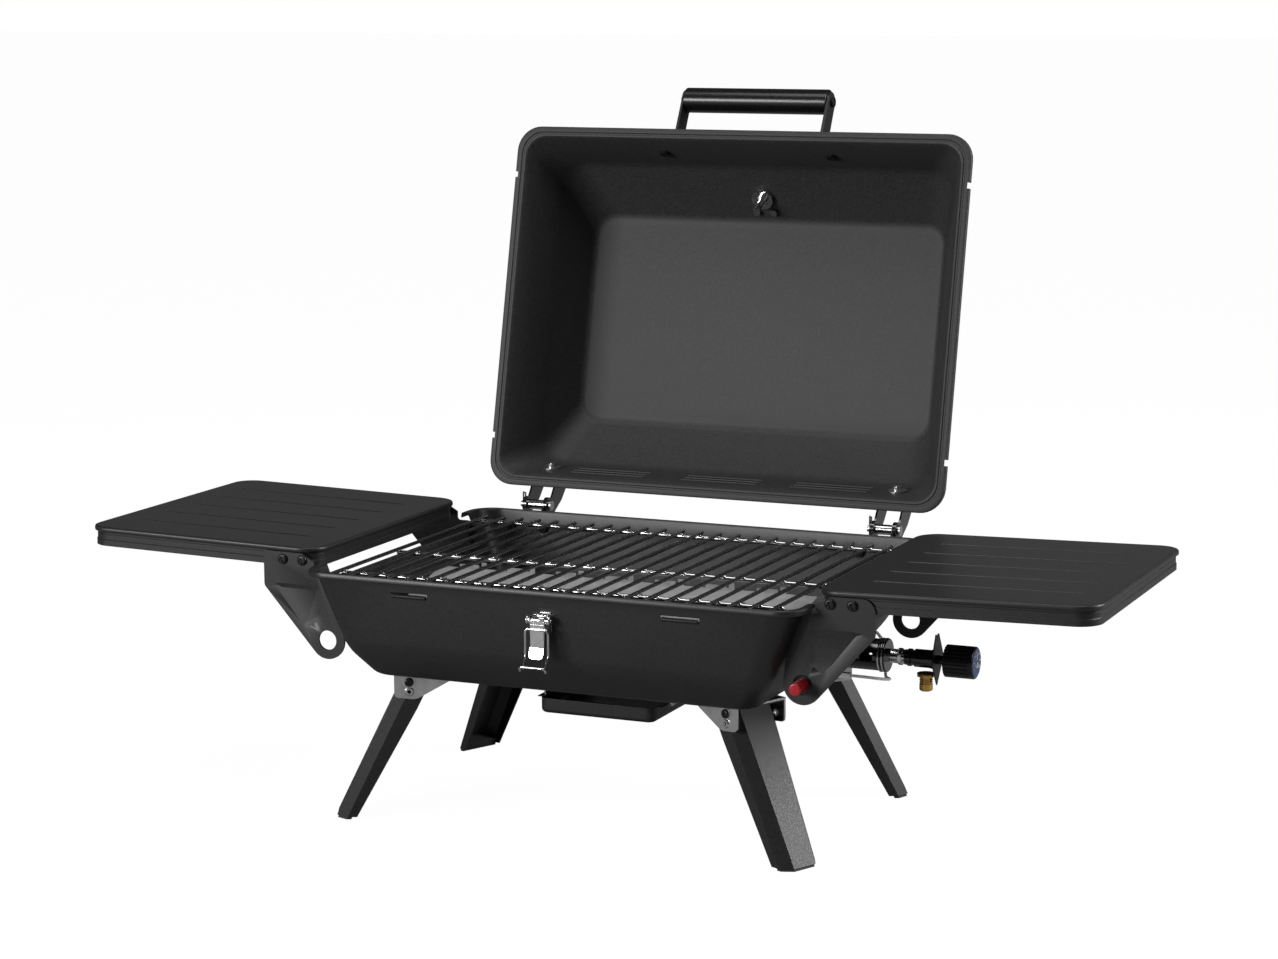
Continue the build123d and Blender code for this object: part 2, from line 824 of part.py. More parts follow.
def leg_side_view(depth_foot, depth_top):
    """Side view of the leg as a wide block: how deep its flanges are from foot to top."""
    back_top = leg_web_offset - depth_top
    back_foot = leg_web_offset - depth_foot
    points = [
        (leg_web_offset, -leg_length()),
        (leg_web_offset, leg_top),
        (back_top + leg_head_slant, leg_top),
        (back_top, leg_top - leg_head_drop),
        (back_top, -leg_bolt_radius * 4),
        (back_foot, -leg_length()),
    ]
    outline = Polyline([(x, -leg_half_width[1], z) for x, z in points], close=True)
    return extrude(make_face(outline), amount=2 * leg_half_width[1], dir=(0, 1, 0))


def leg_steel():
    """Channel of the leg in its own frame, with the pivot hole."""
    steel = (leg_channel(0) - leg_channel(leg_sheet)) & leg_side_view(leg_depth_foot, leg_depth_top)
    reach = leg_half_width[1] + 1
    return steel - bar((0, -reach, 0), (0, reach, 0), leg_bolt_radius + running_fit)


def ground_cut(place, z):
    """Everything below a height, seen by a leg in its frame."""
    reach = (-cut_reach, cut_reach)
    under = block(reach, reach, (z - cut_reach, z))
    return place.location.inverse() * under


def leg(side, end):
    """One folding leg in its place."""
    place = leg_place(side, end)
    return place * (leg_steel() - ground_cut(place, leg_lift))


def leg_foot(side, end):
    """Rubber insert in the end of a leg, standing on the ground."""
    place = leg_place(side, end)
    bottom = -leg_length()
    reach = leg_half_width[1]
    window = block((leg_web_offset - foot_depth, leg_web_offset), (-reach, reach),
                   (bottom, bottom + foot_height))
    return place * ((leg_channel(leg_sheet + running_fit) & window) - ground_cut(place, 0))


def ear_inner():
    """Inside of a bracket ear, from the leg's middle plane."""
    return leg_half_width[1] + ear_gap


def leg_bracket(side, end):
    """Zinc-plated U bracket under the tub with two ears for the leg's bolt."""
    top = floor_z - leg_pivot_z
    inner = ear_inner()
    outline = [
        (ear_outward, top),
        (ear_outward, top - ear_drop),
        (-ear_flat, top - ear_drop - 2),
        (-ear_inward, top - ear_tail_drop),
        (-ear_inward, top),
    ]
    reach = inner + ear_sheet
    pieces = [block((-ear_inward, ear_outward), (-reach, reach), (top - ear_sheet, top))]
    for y in (-inner - ear_sheet, inner):
        pieces.append(plate_xz(outline, (y, y + ear_sheet)))
    bracket = joined(pieces)
    reach = inner + 2 * ear_sheet
    bracket = bracket - bar((0, -reach, 0), (0, reach, 0), leg_bolt_radius + running_fit)
    return bracket_place(side, end) * bracket


def leg_pivot_bolt(side, end):
    """Bolt through both ears and the leg, with a head and a nut."""
    reach = ear_inner() + ear_sheet
    bolt = bar((0, -reach - nut_height, 0), (0, reach, 0), leg_bolt_radius)
    head = bar((0, reach, 0), (0, reach + screw_head_height, 0), screw_head_radius)
    nut = bar((0, -reach - nut_height, 0), (0, -reach, 0), nut_radius)
    return bracket_place(side, end) * (bolt + head + nut)


def each_leg(make):
    """The same piece at all four corners."""
    return [make(side, end) for side in (-1, 1) for end in (-1, 1)]


# ---- drip tray ----
def drip_tray():
    """Shallow open tray with a lip along its sides."""
    bottom = tray_top_z - tray_height
    outer = slab(tray_half_width, tray_half_depth, tray_corner, (bottom, tray_top_z))
    outer = fillet(outer.edges().group_by(Axis.Z)[0], tray_corner / 2)
    inner = slab(tray_half_width - tray_sheet, tray_half_depth - tray_sheet, tray_corner - tray_sheet,
                 (bottom + tray_sheet, tray_top_z))
    inner = fillet(inner.edges().group_by(Axis.Z)[0], tray_corner / 2 - tray_sheet)
    lip = block((-tray_half_width - tray_lip, tray_half_width + tray_lip),
                (-tray_half_depth + tray_corner, tray_half_depth - tray_corner),
                (tray_top_z - tray_sheet, tray_top_z))
    return outer + lip - inner


def drip_tray_rails():
    """Two hangers under the tub, each with a ledge below and a stop above the tray's lip."""
    inner_x = tray_half_width + tray_lip + slip
    ledge_x = tray_half_width + slip
    ledge_top = tray_top_z - tray_sheet - slip
    y_range = (rail_front_y, rail_rear_y)
    wall = block((inner_x, inner_x + rail_sheet), y_range, (ledge_top - rail_sheet, floor_z))
    ledge = block((ledge_x, inner_x), y_range, (ledge_top - rail_sheet, ledge_top))
    foot = block((inner_x, inner_x + 12), y_range, (floor_z - rail_sheet, floor_z))
    return both_sides(wall + ledge + foot)


# ---- lid, drawn closed and then swung open ----
def lid_rim_z():
    """Lower face of the lid's rim when it is closed."""
    return rim_z + lid_gap


def opened(shape):
    """Swing a closed lid part to the open lid."""
    axis = Axis((0, hinge_y, hinge_z), (1, 0, 0))
    return shape.rotate(axis, -lid_open_angle)


def lid_level(height):
    """Half width, half depth and corner radius of the lid's outside at a height over its rim."""
    mouth = (lid_mouth_half_width, lid_mouth_half_depth, lid_mouth_corner)
    knee = (lid_knee_half_width, lid_knee_half_depth, lid_knee_corner)
    top = (lid_top_half_width, lid_top_half_depth, lid_top_corner)
    if height <= lid_knee_height:
        return straight(height / lid_knee_height, mouth, knee)
    return straight((height - lid_knee_height) / (lid_height - lid_knee_height), knee, top)


def lid_skin(heights, inset):
    """Solid inside the lid's outline moved in by a wall."""
    levels = []
    for height in heights:
        half_width, half_depth, corner = lid_level(height)
        levels.append((half_width - inset, half_depth - inset, corner - inset, lid_rim_z() + height))
    return tapered(levels)


def lid_point(x, height):
    """Point on the outside of the lid's front at a height over the rim, and the wall's outward normal."""
    if height <= lid_knee_height:
        run = lid_mouth_half_depth - lid_knee_half_depth
        rise = lid_knee_height
    else:
        run = lid_knee_half_depth - lid_top_half_depth
        rise = lid_height - lid_knee_height
    normal = Vector(0, -rise, run).normalized()
    return Vector(x, -lid_level(height)[1], lid_rim_z() + height), normal


def stud(x, height, inward, outward, radius):
    """Round bar through the lid's front wall, square to it."""
    point, normal = lid_point(x, height)
    return bar(point - normal * inward, point + normal * outward, radius)


def lid_drills():
    """Cutters for louvres, notches and fasteners."""
    drills = []
    for middle in louvre_x:
        for height in louvre_heights:
            z = lid_rim_z() + height
            y = lid_level(height)[1]
            drills.append(block((middle - louvre_length / 2, middle + louvre_length / 2), (y - 6, y + 6),
                                (z - louvre_width / 2, z + louvre_width / 2)))
    for y in (-lid_notch_y, lid_notch_y):
        notch = block((rim_half_width - lid_notch_depth, rim_half_width + 1),
                      (y - lid_notch_width / 2, y + lid_notch_width / 2), (lid_rim_z() - 1, lid_rim_z() + 5))
        drills.extend(both_sides(notch))
    hole = screw_shank_radius + running_fit
    for x in (-handle_foot_x, handle_foot_x):
        drills.append(stud(x, handle_foot_height, drill_reach, drill_reach, hole))
    for x in (-hinge_x, hinge_x):
        point, normal = lid_rear_point(x, hinge_nut_height)
        drills.append(bar(point - normal * drill_reach, point + normal * drill_reach, hole))
    drills.append(stud(0, thermometer_height, drill_reach, drill_reach,
                       thermometer_stem_radius + running_fit))
    for x in (-thermometer_pin_x, thermometer_pin_x):
        drills.append(stud(x, thermometer_pin_height, drill_reach, drill_reach,
                           thermometer_pin_radius + running_fit))
    return drills


def lid_shell():
    """Pressed lid: tapered walls, flat top and a rim flange."""
    lid = lid_skin((0, lid_knee_height, lid_height), 0)
    lid = lid + slab(rim_half_width, rim_half_depth, rim_corner, (lid_rim_z(), lid_rim_z() + lid_sheet))
    inner_levels = [
        (*straight(0, lid_inner(0), lid_inner(0)), lid_rim_z()),
        (*lid_inner(lid_knee_height), lid_rim_z() + lid_knee_height),
        (*lid_inner(lid_height - lid_sheet), lid_rim_z() + lid_height - lid_sheet),
    ]
    lid = lid - tapered(inner_levels)
    for drill in lid_drills():
        lid = lid - drill
    return lid


def lid_inner(height):
    """Half width, half depth and corner radius of the lid's inside at a height."""
    return [value - lid_sheet for value in lid_level(height)]


def lid_rear_point(x, height):
    """Point on the outside of the lid's rear wall, and its outward normal."""
    point, normal = lid_point(x, height)
    return Vector(point.X, -point.Y, point.Z), Vector(0, -normal.Y, normal.Z)


def hinge_web_edges():
    """Two points of the lid's rear wall where the hinge web starts and ends."""
    return [lid_rear_point(0, height)[0] for height in (hinge_web_bottom, hinge_web_top)]


def lid_hinge_arm(x_range):
    """Curved arm from the pivot to the lid's rear wall."""
    low, high = hinge_web_edges()
    eye = hinge_eye_radius
    points = [
        (low.Y, low.Z),
        (low.Y + 8, low.Z - 6),
        (hinge_y - eye, hinge_z + 4),
        (hinge_y, hinge_z),
        (hinge_y + eye, hinge_z + 1),
        (hinge_y + eye - 1, hinge_z + 12),
        (hinge_y - 8, hinge_z + 28),
        (high.Y + 10, high.Z - 3),
        (high.Y, high.Z),
    ]
    arm = plate_yz(points, x_range)
    arm = arm + bar((x_range[0], hinge_y, hinge_z), (x_range[1], hinge_y, hinge_z), eye)
    return arm - bar((x_range[0] - 1, hinge_y, hinge_z), (x_range[1] + 1, hinge_y, hinge_z),
                     hinge_pin_radius + running_fit)


def lid_hinge_arms(centre):
    """Twin arms and the web that is bolted on the lid."""
    low, high = hinge_web_edges()
    inner = hinge_arm_inner
    outer = hinge_arm_inner + hinge_sheet
    outline = [
        (low.Y, low.Z),
        (low.Y + hinge_sheet, low.Z),
        (high.Y + hinge_sheet, high.Z),
        (high.Y, high.Z),
    ]
    hinge = plate_yz(outline, (centre - outer, centre + outer))
    hinge = hinge + lid_hinge_arm((centre - outer, centre - inner))
    hinge = hinge + lid_hinge_arm((centre + inner, centre + outer))
    point, normal = lid_rear_point(centre, hinge_nut_height)
    hole = screw_shank_radius + running_fit
    return hinge - bar(point - normal * drill_reach, point + normal * drill_reach, hole)


def lid_hinge_nut(centre):
    """Bolt through web and lid, with a square tab and a nut on the inside."""
    point, normal = lid_rear_point(centre, hinge_nut_height)
    inside = point - normal * (lid_sheet + hinge_nut_air)
    outside = point + normal * (hinge_sheet + 2 * hinge_nut_air)
    bolt = bar(inside - normal * hinge_nut_end, outside, screw_shank_radius)
    head = bar(outside, outside + normal * screw_head_height, screw_head_radius)
    tab = bar(inside - normal * hinge_tab_sheet, inside, hinge_tab_radius)
    nut = bar(inside - normal * (hinge_tab_sheet + nut_height), inside - normal * hinge_tab_sheet, nut_radius)
    return bolt + head + tab + nut


def tub_hinge_bracket(centre):
    """Plate on the tub's rear wall with two ears that hold the pin."""
    top = rim_z - hinge_plate_top_drop
    low = rim_z - hinge_plate_bottom_drop
    wall_top = -front_wall_y(top)
    wall_low = -front_wall_y(low)
    half = hinge_plate_half_width
    plate = [
        (wall_low, low),
        (wall_low + hinge_sheet, low),
        (wall_top + hinge_sheet, top),
        (wall_top, top),
    ]
    bracket = plate_yz(plate, (centre - half, centre + half))
    ear = [
        (wall_low + hinge_sheet / 2, low),
        (hinge_y - 2, hinge_z - hinge_eye_radius),
        (hinge_y, hinge_z),
        (hinge_y - hinge_eye_radius, hinge_z - 1),
        (rim_half_depth + 2, top),
        (wall_top + hinge_sheet / 2, top),
    ]
    outer = hinge_arm_inner - slip
    left_ear = (centre - outer, centre - outer + hinge_sheet)
    right_ear = (centre + outer - hinge_sheet, centre + outer)
    for x_range in (left_ear, right_ear):
        bracket = bracket + plate_yz(ear, x_range)
        bracket = bracket + bar_x(x_range, hinge_y, hinge_z, hinge_eye_radius)
    bracket = bracket - bar((centre - half, hinge_y, hinge_z), (centre + half, hinge_y, hinge_z),
                            hinge_pin_radius + running_fit)
    hole = screw_shank_radius + running_fit
    for x, y, z in hinge_bolt_points():
        bracket = bracket - bar((x, y - drill_reach, z), (x, y + drill_reach, z), hole)
    return bracket


def hinge_bolts():
    """Bolts that hold the hinge brackets, with their heads inside the tub."""
    bolts = []
    lean = (mouth_half_depth - crease_half_depth) / (rim_z - crease_z)
    spare = lean * screw_head_radius + 0.2
    for x, y, z in hinge_bolt_points():
        inside = y - sheet - spare
        outside = y + hinge_sheet + spare
        shank = bar((x, inside, z), (x, outside + nut_height, z), screw_shank_radius)
        head = bar((x, inside - screw_head_height, z), (x, inside, z), screw_head_radius)
        nut = bar((x, outside, z), (x, outside + nut_height, z), nut_radius)
        bolts.append(shank + head + nut)
    return bolts


def hinge_pin(centre):
    """Clevis pin with a head on its right."""
    reach = hinge_arm_inner + hinge_sheet
    seat = centre + reach + slip
    pin = bar_x((centre - reach - hinge_pin_tail, seat), hinge_y, hinge_z, hinge_pin_radius)
    head = bar_x((seat, seat + hinge_head_height), hinge_y, hinge_z, hinge_head_radius)
    x = centre - reach - clip_step
    cross = bar((x, hinge_y, hinge_z - hinge_head_radius), (x, hinge_y, hinge_z + hinge_head_radius),
                clip_wire_radius + running_fit)
    return pin + head - cross


def hinge_clip(centre):
    """Hairpin clip through the pin's left end."""
    x = centre - hinge_arm_inner - hinge_sheet - clip_step
    leg_wire = bar((x, hinge_y, hinge_z - 6), (x, hinge_y, hinge_z + clip_height), clip_wire_radius)
    top_wire = bar((x, hinge_y, hinge_z + clip_height), (x, hinge_y + 5, hinge_z + clip_height - 2),
                   clip_wire_radius)
    side_wire = bar((x, hinge_y + 5, hinge_z + clip_height - 2), (x, hinge_y + 4.2, hinge_z - 6),
                    clip_wire_radius)
    return leg_wire + top_wire + side_wire


def hinge_spacer(centre):
    """Bright sleeve on the pin between the bracket's ears."""
    reach = hinge_arm_inner - slip - hinge_sheet
    return tube((centre - reach, hinge_y, hinge_z), (centre + reach, hinge_y, hinge_z), hinge_head_radius,
                hinge_head_radius - hinge_pin_radius - running_fit)


def handle_tube_z():
    """Height of the handle tube's middle when the lid is closed."""
    return lid_rim_z() + handle_tube_height


def lid_handle_tube():
    """Handle grip between the arms."""
    reach = handle_x - handle_sheet / 2
    grip = tube((-reach, handle_tube_y, handle_tube_z()), (reach, handle_tube_y, handle_tube_z()),
                handle_tube_radius, handle_tube_radius - screw_shank_radius - running_fit)
    return grip


def lid_handle_arm():
    """Right arm: foot on the lid's front wall, bent forward to the grip."""
    point, normal = lid_point(handle_foot_x, handle_foot_height)
    half = handle_arm_width / 2
    low, _ = lid_point(0, handle_foot_height - half)
    high, _ = lid_point(0, handle_foot_height + half)
    inner = handle_x - handle_sheet / 2
    outer = handle_x + handle_sheet / 2
    foot_outline = [
        (low.Y, low.Z),
        (low.Y - handle_sheet, low.Z),
        (high.Y - handle_sheet, high.Z),
        (high.Y, high.Z),
    ]
    arm_outline = [
        (low.Y, low.Z),
        (handle_tube_y, handle_tube_z() - half),
        (handle_tube_y, handle_tube_z() + half),
        (high.Y, high.Z),
    ]
    foot = plate_yz(foot_outline, (inner, handle_foot_x + half))
    arm = plate_yz(arm_outline, (inner, outer))
    eye = bar_x((inner, outer), handle_tube_y, handle_tube_z(), half)
    arm = foot + arm + eye
    hole = screw_shank_radius + running_fit
    arm = arm - bar(point - normal * drill_reach, point + normal * drill_reach, hole)
    return arm - bar_x((inner - 1, outer + 1), handle_tube_y, handle_tube_z(), hole)


def lid_handle_screws():
    """A screw in each end of the grip and one through each foot, with its head inside the lid."""
    outer = handle_x + handle_sheet / 2
    y = handle_tube_y
    z = handle_tube_z()
    screw = bar((outer - 18, y, z), (outer, y, z), screw_shank_radius)
    screw = screw + bar((outer, y, z), (outer + screw_head_height, y, z), screw_head_radius)
    point, normal = lid_point(handle_foot_x, handle_foot_height)
    inside = point - normal * (lid_sheet + 0.3)
    outside = point + normal * (handle_sheet + 0.1)
    bolt = bar(inside, outside + normal * nut_height, screw_shank_radius)
    head = bar(inside - normal * screw_head_height, inside, screw_head_radius)
    nut = bar(outside, outside + normal * nut_height, nut_radius)
    return both_sides(screw) + both_sides(bolt + head + nut)


def thermometer_dial():
    """Dial on the outside of the lid, with the stem that goes through it."""
    point, normal = lid_point(0, thermometer_height)
    body = bar(point, point + normal * thermometer_depth, thermometer_radius)
    body = chamfer(body.edges().sort_by_distance(point + normal * thermometer_depth)[0], 2.0)
    return body + bar(point - normal * thermometer_stem_length, point, thermometer_stem_radius)


def thermometer_nut():
    """Wing nut and washer on the stem, inside the lid."""
    point, normal = lid_point(0, thermometer_height)
    seat = point - normal * (lid_sheet + 0.2)
    nut = bar(seat - normal * thermometer_nut_height, seat, thermometer_nut_radius)
    wings = bar(seat - normal * thermometer_nut_height * 2.2, seat, thermometer_nut_radius / 2)
    return nut + wings - stud(0, thermometer_height, 30, 5, thermometer_stem_radius + running_fit)


def thermometer_pins():
    """Two locating pins of the dial through the lid."""
    pins = []
    for x in (-thermometer_pin_x, thermometer_pin_x):
        point, normal = lid_point(x, thermometer_pin_height)
        end = point - normal * thermometer_pin_length
        pin = bar(end, point, thermometer_pin_radius)
        pins.append(pin + bar(end, point - normal * (lid_sheet + slip), thermometer_pin_head))
    return pins


# ---- latch ----
def latch_pivot():
    """Depth and height of the lever's pivot."""
    z = rim_z - latch_pivot_drop
    return front_wall_y(z) - latch_pivot_out, z


def latch_base():
    """Plate on the tub's front wall with the rolled barrel's two cheeks."""
    y, z = latch_pivot()
    top = z + latch_plate_above
    low = z - latch_plate_below
    half = latch_plate_half_width
    outline = [
        (front_wall_y(low), low),
        (front_wall_y(top), top),
        (front_wall_y(top) - lever_sheet, top),
        (front_wall_y(low) - lever_sheet, low),
    ]
    plate = plate_yz(outline, (-half, half))
    for side in (-1, 1):
        x_range = sorted((side * (lever_half_top + slip), side * (lever_half_top + slip + latch_cheek)))
        cheek = plate_yz([(front_wall_y(z) - lever_sheet / 2, z + 5), (y, z + latch_barrel_radius),
                          (y, z - latch_barrel_radius), (front_wall_y(z) - lever_sheet / 2, z - 5)], x_range)
        plate = plate + cheek + bar((x_range[0], y, z), (x_range[1], y, z), latch_barrel_radius)
    plate = plate + bar((-lever_half_top - 1, y, z), (lever_half_top + 1, y, z), latch_pin_radius)
    for x, rivet_y, rivet_z in latch_rivet_points():
        hole = screw_shank_radius + running_fit
        plate = plate - bar((x, rivet_y - drill_reach, rivet_z), (x, rivet_y + drill_reach, rivet_z), hole)
    return plate


def latch_rivets():
    """Two rivets that hold the latch base."""
    rivets = []
    lean = (mouth_half_depth - crease_half_depth) / (rim_z - crease_z)
    rivet_air = lean * screw_head_radius + 0.1
    for x, y, z in latch_rivet_points():
        outside = y - lever_sheet - rivet_air
        inside = y + sheet + rivet_air
        rivet = bar((x, outside, z), (x, inside, z), screw_shank_radius)
        rivet = rivet + bar((x, inside, z), (x, inside + 1.2, z), screw_head_radius - 0.5)
        rivets.append(rivet + bar((x, outside - 1.0, z), (x, outside, z), screw_head_radius - 1.0))
    return rivets


def latch_lever():
    """Tapered lever that hangs from the barrel, with stub pins for the bail."""
    y, z = latch_pivot()
    barrel = bar((-lever_half_top, y, z), (lever_half_top, y, z), latch_barrel_radius)
    face_y = y - latch_barrel_radius
    outline = [(-lever_half_top, z), (lever_half_top, z), (lever_half_bottom, z - lever_length),
               (-lever_half_bottom, z - lever_length)]
    plate = plate_xz(outline, (face_y, face_y + lever_sheet))
    bail_y, bail_z = bail_pivot()
    stub = bar((-bail_half_width + bail_wire_radius + slip, bail_y, bail_z),
               (bail_half_width - bail_wire_radius - slip, bail_y, bail_z), latch_pin_radius)
    lever = barrel + plate + stub
    reach = lever_half_top + 1
    return lever - bar_x((-reach, reach), y, z, latch_pin_radius + running_fit)


def bail_pivot():
    """Depth and height of the bail's pivot on the lever."""
    y, z = latch_pivot()
    return y - latch_barrel_radius - lever_sheet / 2, z - bail_drop


def latch_bail():
    """Wire loop that hangs on the lever and hooks over the rim of the closed lid."""
    y, z = bail_pivot()
    bend = (y, z - bail_straight)
    tip = (y - bail_hook_out, z - bail_length)
    hook = (tip[0] - bail_hook_reach, tip[1] + bail_hook_back)
    half = bail_half_width
    wires = []
    for side in (-1, 1):
        route = [(side * half, *point) for point in ((y, z), bend, tip, hook)]
        for start, end in zip(route, route[1:]):
            wires.append(bar(start, end, bail_wire_radius))
        for point in route:
            wires.append(Pos(*point) * Sphere(bail_wire_radius))
    wires.append(bar((-half, *hook), (half, *hook), bail_wire_radius))
    return joined(wires)


# ---- gas train ----
def venturi_tube():
    """Air mixing tube outside the end wall, around the burner's end."""
    left = (venturi_left_x, 0, burner_z)
    right = (venturi_right_x, 0, burner_z)
    wall = venturi_radius - burner_radius - slip
    body = tube(left, right, venturi_radius, wall)
    slot = block((venturi_right_x - 18, venturi_right_x - 6), (-venturi_radius, venturi_radius),
                 (burner_z - 4, burner_z + 4))
    return body - slot


def venturi_collar():
    """End cap of the venturi with a bead around it."""
    cap = bar((venturi_right_x, 0, burner_z), (collar_right_x, 0, burner_z), collar_radius)
    cap = fillet(cap.edges(), 1.2)
    return cap


def gas_coupling():
    """Threaded coupling between the collar and the valve."""
    middle = (collar_right_x + coupling_right_x) / 2
    body = bar((collar_right_x, 0, burner_z), (coupling_right_x, 0, burner_z), coupling_radius)
    start = Plane(origin=(middle - coupling_nut_length / 2, 0, burner_z), z_dir=(1, 0, 0))
    nut = extrude(start * RegularPolygon(coupling_nut_radius, 6), amount=coupling_nut_length)
    return body + nut


def valve_body():
    """Valve with its elbow and the bore for the knob's stem."""
    body = bar((coupling_right_x, 0, burner_z), (valve_right_x, 0, burner_z), valve_radius)
    elbow = bar((elbow_x, 0, burner_z), (elbow_x, 0, elbow_bottom_z), elbow_radius)
    bore = bar((valve_right_x - 6, 0, burner_z), (valve_right_x, 0, burner_z), knob_stem_radius + running_fit)
    return body + elbow - bore


def gas_inlet_nipple():
    """Brass inlet that the gas hose screws on."""
    hex_bottom = elbow_bottom_z - nipple_hex_height
    hexagon = Pos(elbow_x, 0, hex_bottom) * RegularPolygon(nipple_hex_radius, 6)
    return extrude(hexagon, amount=nipple_hex_height, dir=(0, 0, 1)) + bar(
        (elbow_x, 0, hex_bottom - nipple_length), (elbow_x, 0, hex_bottom), nipple_radius)


def valve_plate():
    """Lozenge plate on the valve with a notch in its top."""
    notch = plate_notch
    points = [
        (0, burner_z - plate_half_height),
        (plate_half_width, burner_z),
        (notch / 2 + 1, burner_z + plate_half_height),
        (0, burner_z + plate_half_height - notch),
        (-notch / 2 - 1, burner_z + plate_half_height),
        (-plate_half_width, burner_z),
    ]
    plate = plate_yz(points, (valve_right_x, plate_right_x))
    return plate - bar((valve_right_x - 1, 0, burner_z), (plate_right_x + 1, 0, burner_z),
                       knob_stem_radius + running_fit)


def control_knob():
    """Ribbed knob with its stem and a recess for the cap."""
    body = bar((knob_left_x, 0, burner_z), (knob_right_x, 0, burner_z), knob_radius)
    body = fillet(body.edges().sort_by(Axis.X)[-1], 1.5)
    for index in range(knob_ribs):
        angle = math.radians(360 / knob_ribs * index)
        y = knob_radius * math.cos(angle)
        z = burner_z + knob_radius * math.sin(angle)
        body = body - bar((knob_left_x - 1, y, z), (knob_right_x - 4, y, z), knob_rib_radius)
    stem = bar((valve_right_x - 5, 0, burner_z), (knob_left_x, 0, burner_z), knob_stem_radius)
    recess = bar_x((knob_right_x - cap_depth, knob_right_x), 0, burner_z, cap_radius + running_fit)
    return body + stem - recess


def knob_cap():
    """Coloured disc in the knob's face."""
    return bar((knob_right_x - cap_depth, 0, burner_z), (knob_right_x + 0.4, 0, burner_z), cap_radius)


# ---- igniter ----
def igniter_face_y():
    """Outside of the front flange, where the igniter's bezel sits."""
    return flange_depths()[0][0]


def igniter_body():
    """Bezel and barrel of the push-button igniter, with the bore of its button."""
    front = igniter_face_y()
    x = flange_lobe_x
    z = flange_lobe_z
    bezel = bar((x, front, z), (x, front - bezel_depth, z), bezel_radius)
    bezel = chamfer(bezel.edges().sort_by(Axis.Y)[0], 3.0)
    barrel = bar((x, front, z), (x, igniter_rear_y, z), igniter_radius)
    bore = bar((x, front - bezel_depth, z), (x, front + button_seat + button_travel + slip, z),
               button_radius + running_fit)
    return bezel + barrel - bore


def igniter_nut():
    """Round nut behind the bracket flange."""
    rear = flange_depths()[0][1]
    x = flange_lobe_x
    z = flange_lobe_z
    nut = bar((x, rear, z), (x, rear + igniter_nut_height, z), igniter_nut_radius)
    return nut - bar((x, rear, z), (x, rear + igniter_nut_height, z), igniter_radius + running_fit)


def igniter_button():
    """Push button of the igniter."""
    front = igniter_face_y()
    x = flange_lobe_x
    z = flange_lobe_z
    button = bar((x, front - bezel_depth - button_proud, z), (x, front + button_seat, z), button_radius)
    return fillet(button.edges().sort_by(Axis.Y)[0], 1.5)


def igniter_terminal():
    """Spade connector at the rear of the igniter, pointing outwards."""
    x_range = (flange_lobe_x - terminal_start, terminal_end_x)
    y_range = (igniter_rear_y, igniter_rear_y + terminal_depth)
    return block(x_range, y_range, (terminal_z - terminal_half_height, terminal_z + terminal_half_height))


def lead_radii():
    """Arc radius at each inner point of the lead: as large as its two runs allow."""
    points = [Vector(*point) for point in lead_points]
    radii = []
    for before, here, after in zip(points, points[1:], points[2:]):
        run_in = here - before
        run_out = after - here
        half_turn = math.radians(run_in.get_angle(run_out)) / 2
        radii.append(0.45 * min(run_in.length, run_out.length) / math.tan(half_turn))
    return radii


def ignition_lead():
    """Lead from the spade connector to the grommet in the end wall."""
    path = FilletPolyline(*lead_points, radius=lead_radii())
    start = Plane(origin=path @ 0, z_dir=path % 0)
    lead = sweep(start * Circle(lead_diameter / 2), path=path)
    print("lead radii", [round(radius, 1) for radius in lead_radii()])
    print("lead volume", round(lead.volume), "of", round(math.pi * lead_diameter ** 2 / 4 * path.length))
    return lead


def lead_grommet():
    """Grommet in the end wall that takes the lead and holds the electrode."""
    wall = end_wall_x(grommet_z)
    return bar((wall - grommet_proud, grommet_y, grommet_z), (wall + grommet_proud, grommet_y, grommet_z),
               grommet_radius)


def spark_electrode():
    """Ceramic electrode from the grommet along the burner."""
    start = end_wall_x(grommet_z) - grommet_proud
    body = bar_x((start - electrode_length, start), grommet_y, grommet_z, electrode_radius)
    tip_start = (start - electrode_length + 2, grommet_y, grommet_z)
    tip_end = (start - electrode_length - 6, burner_radius + 6, burner_z + 4)
    return body + bar(tip_start, tip_end, 1.0)


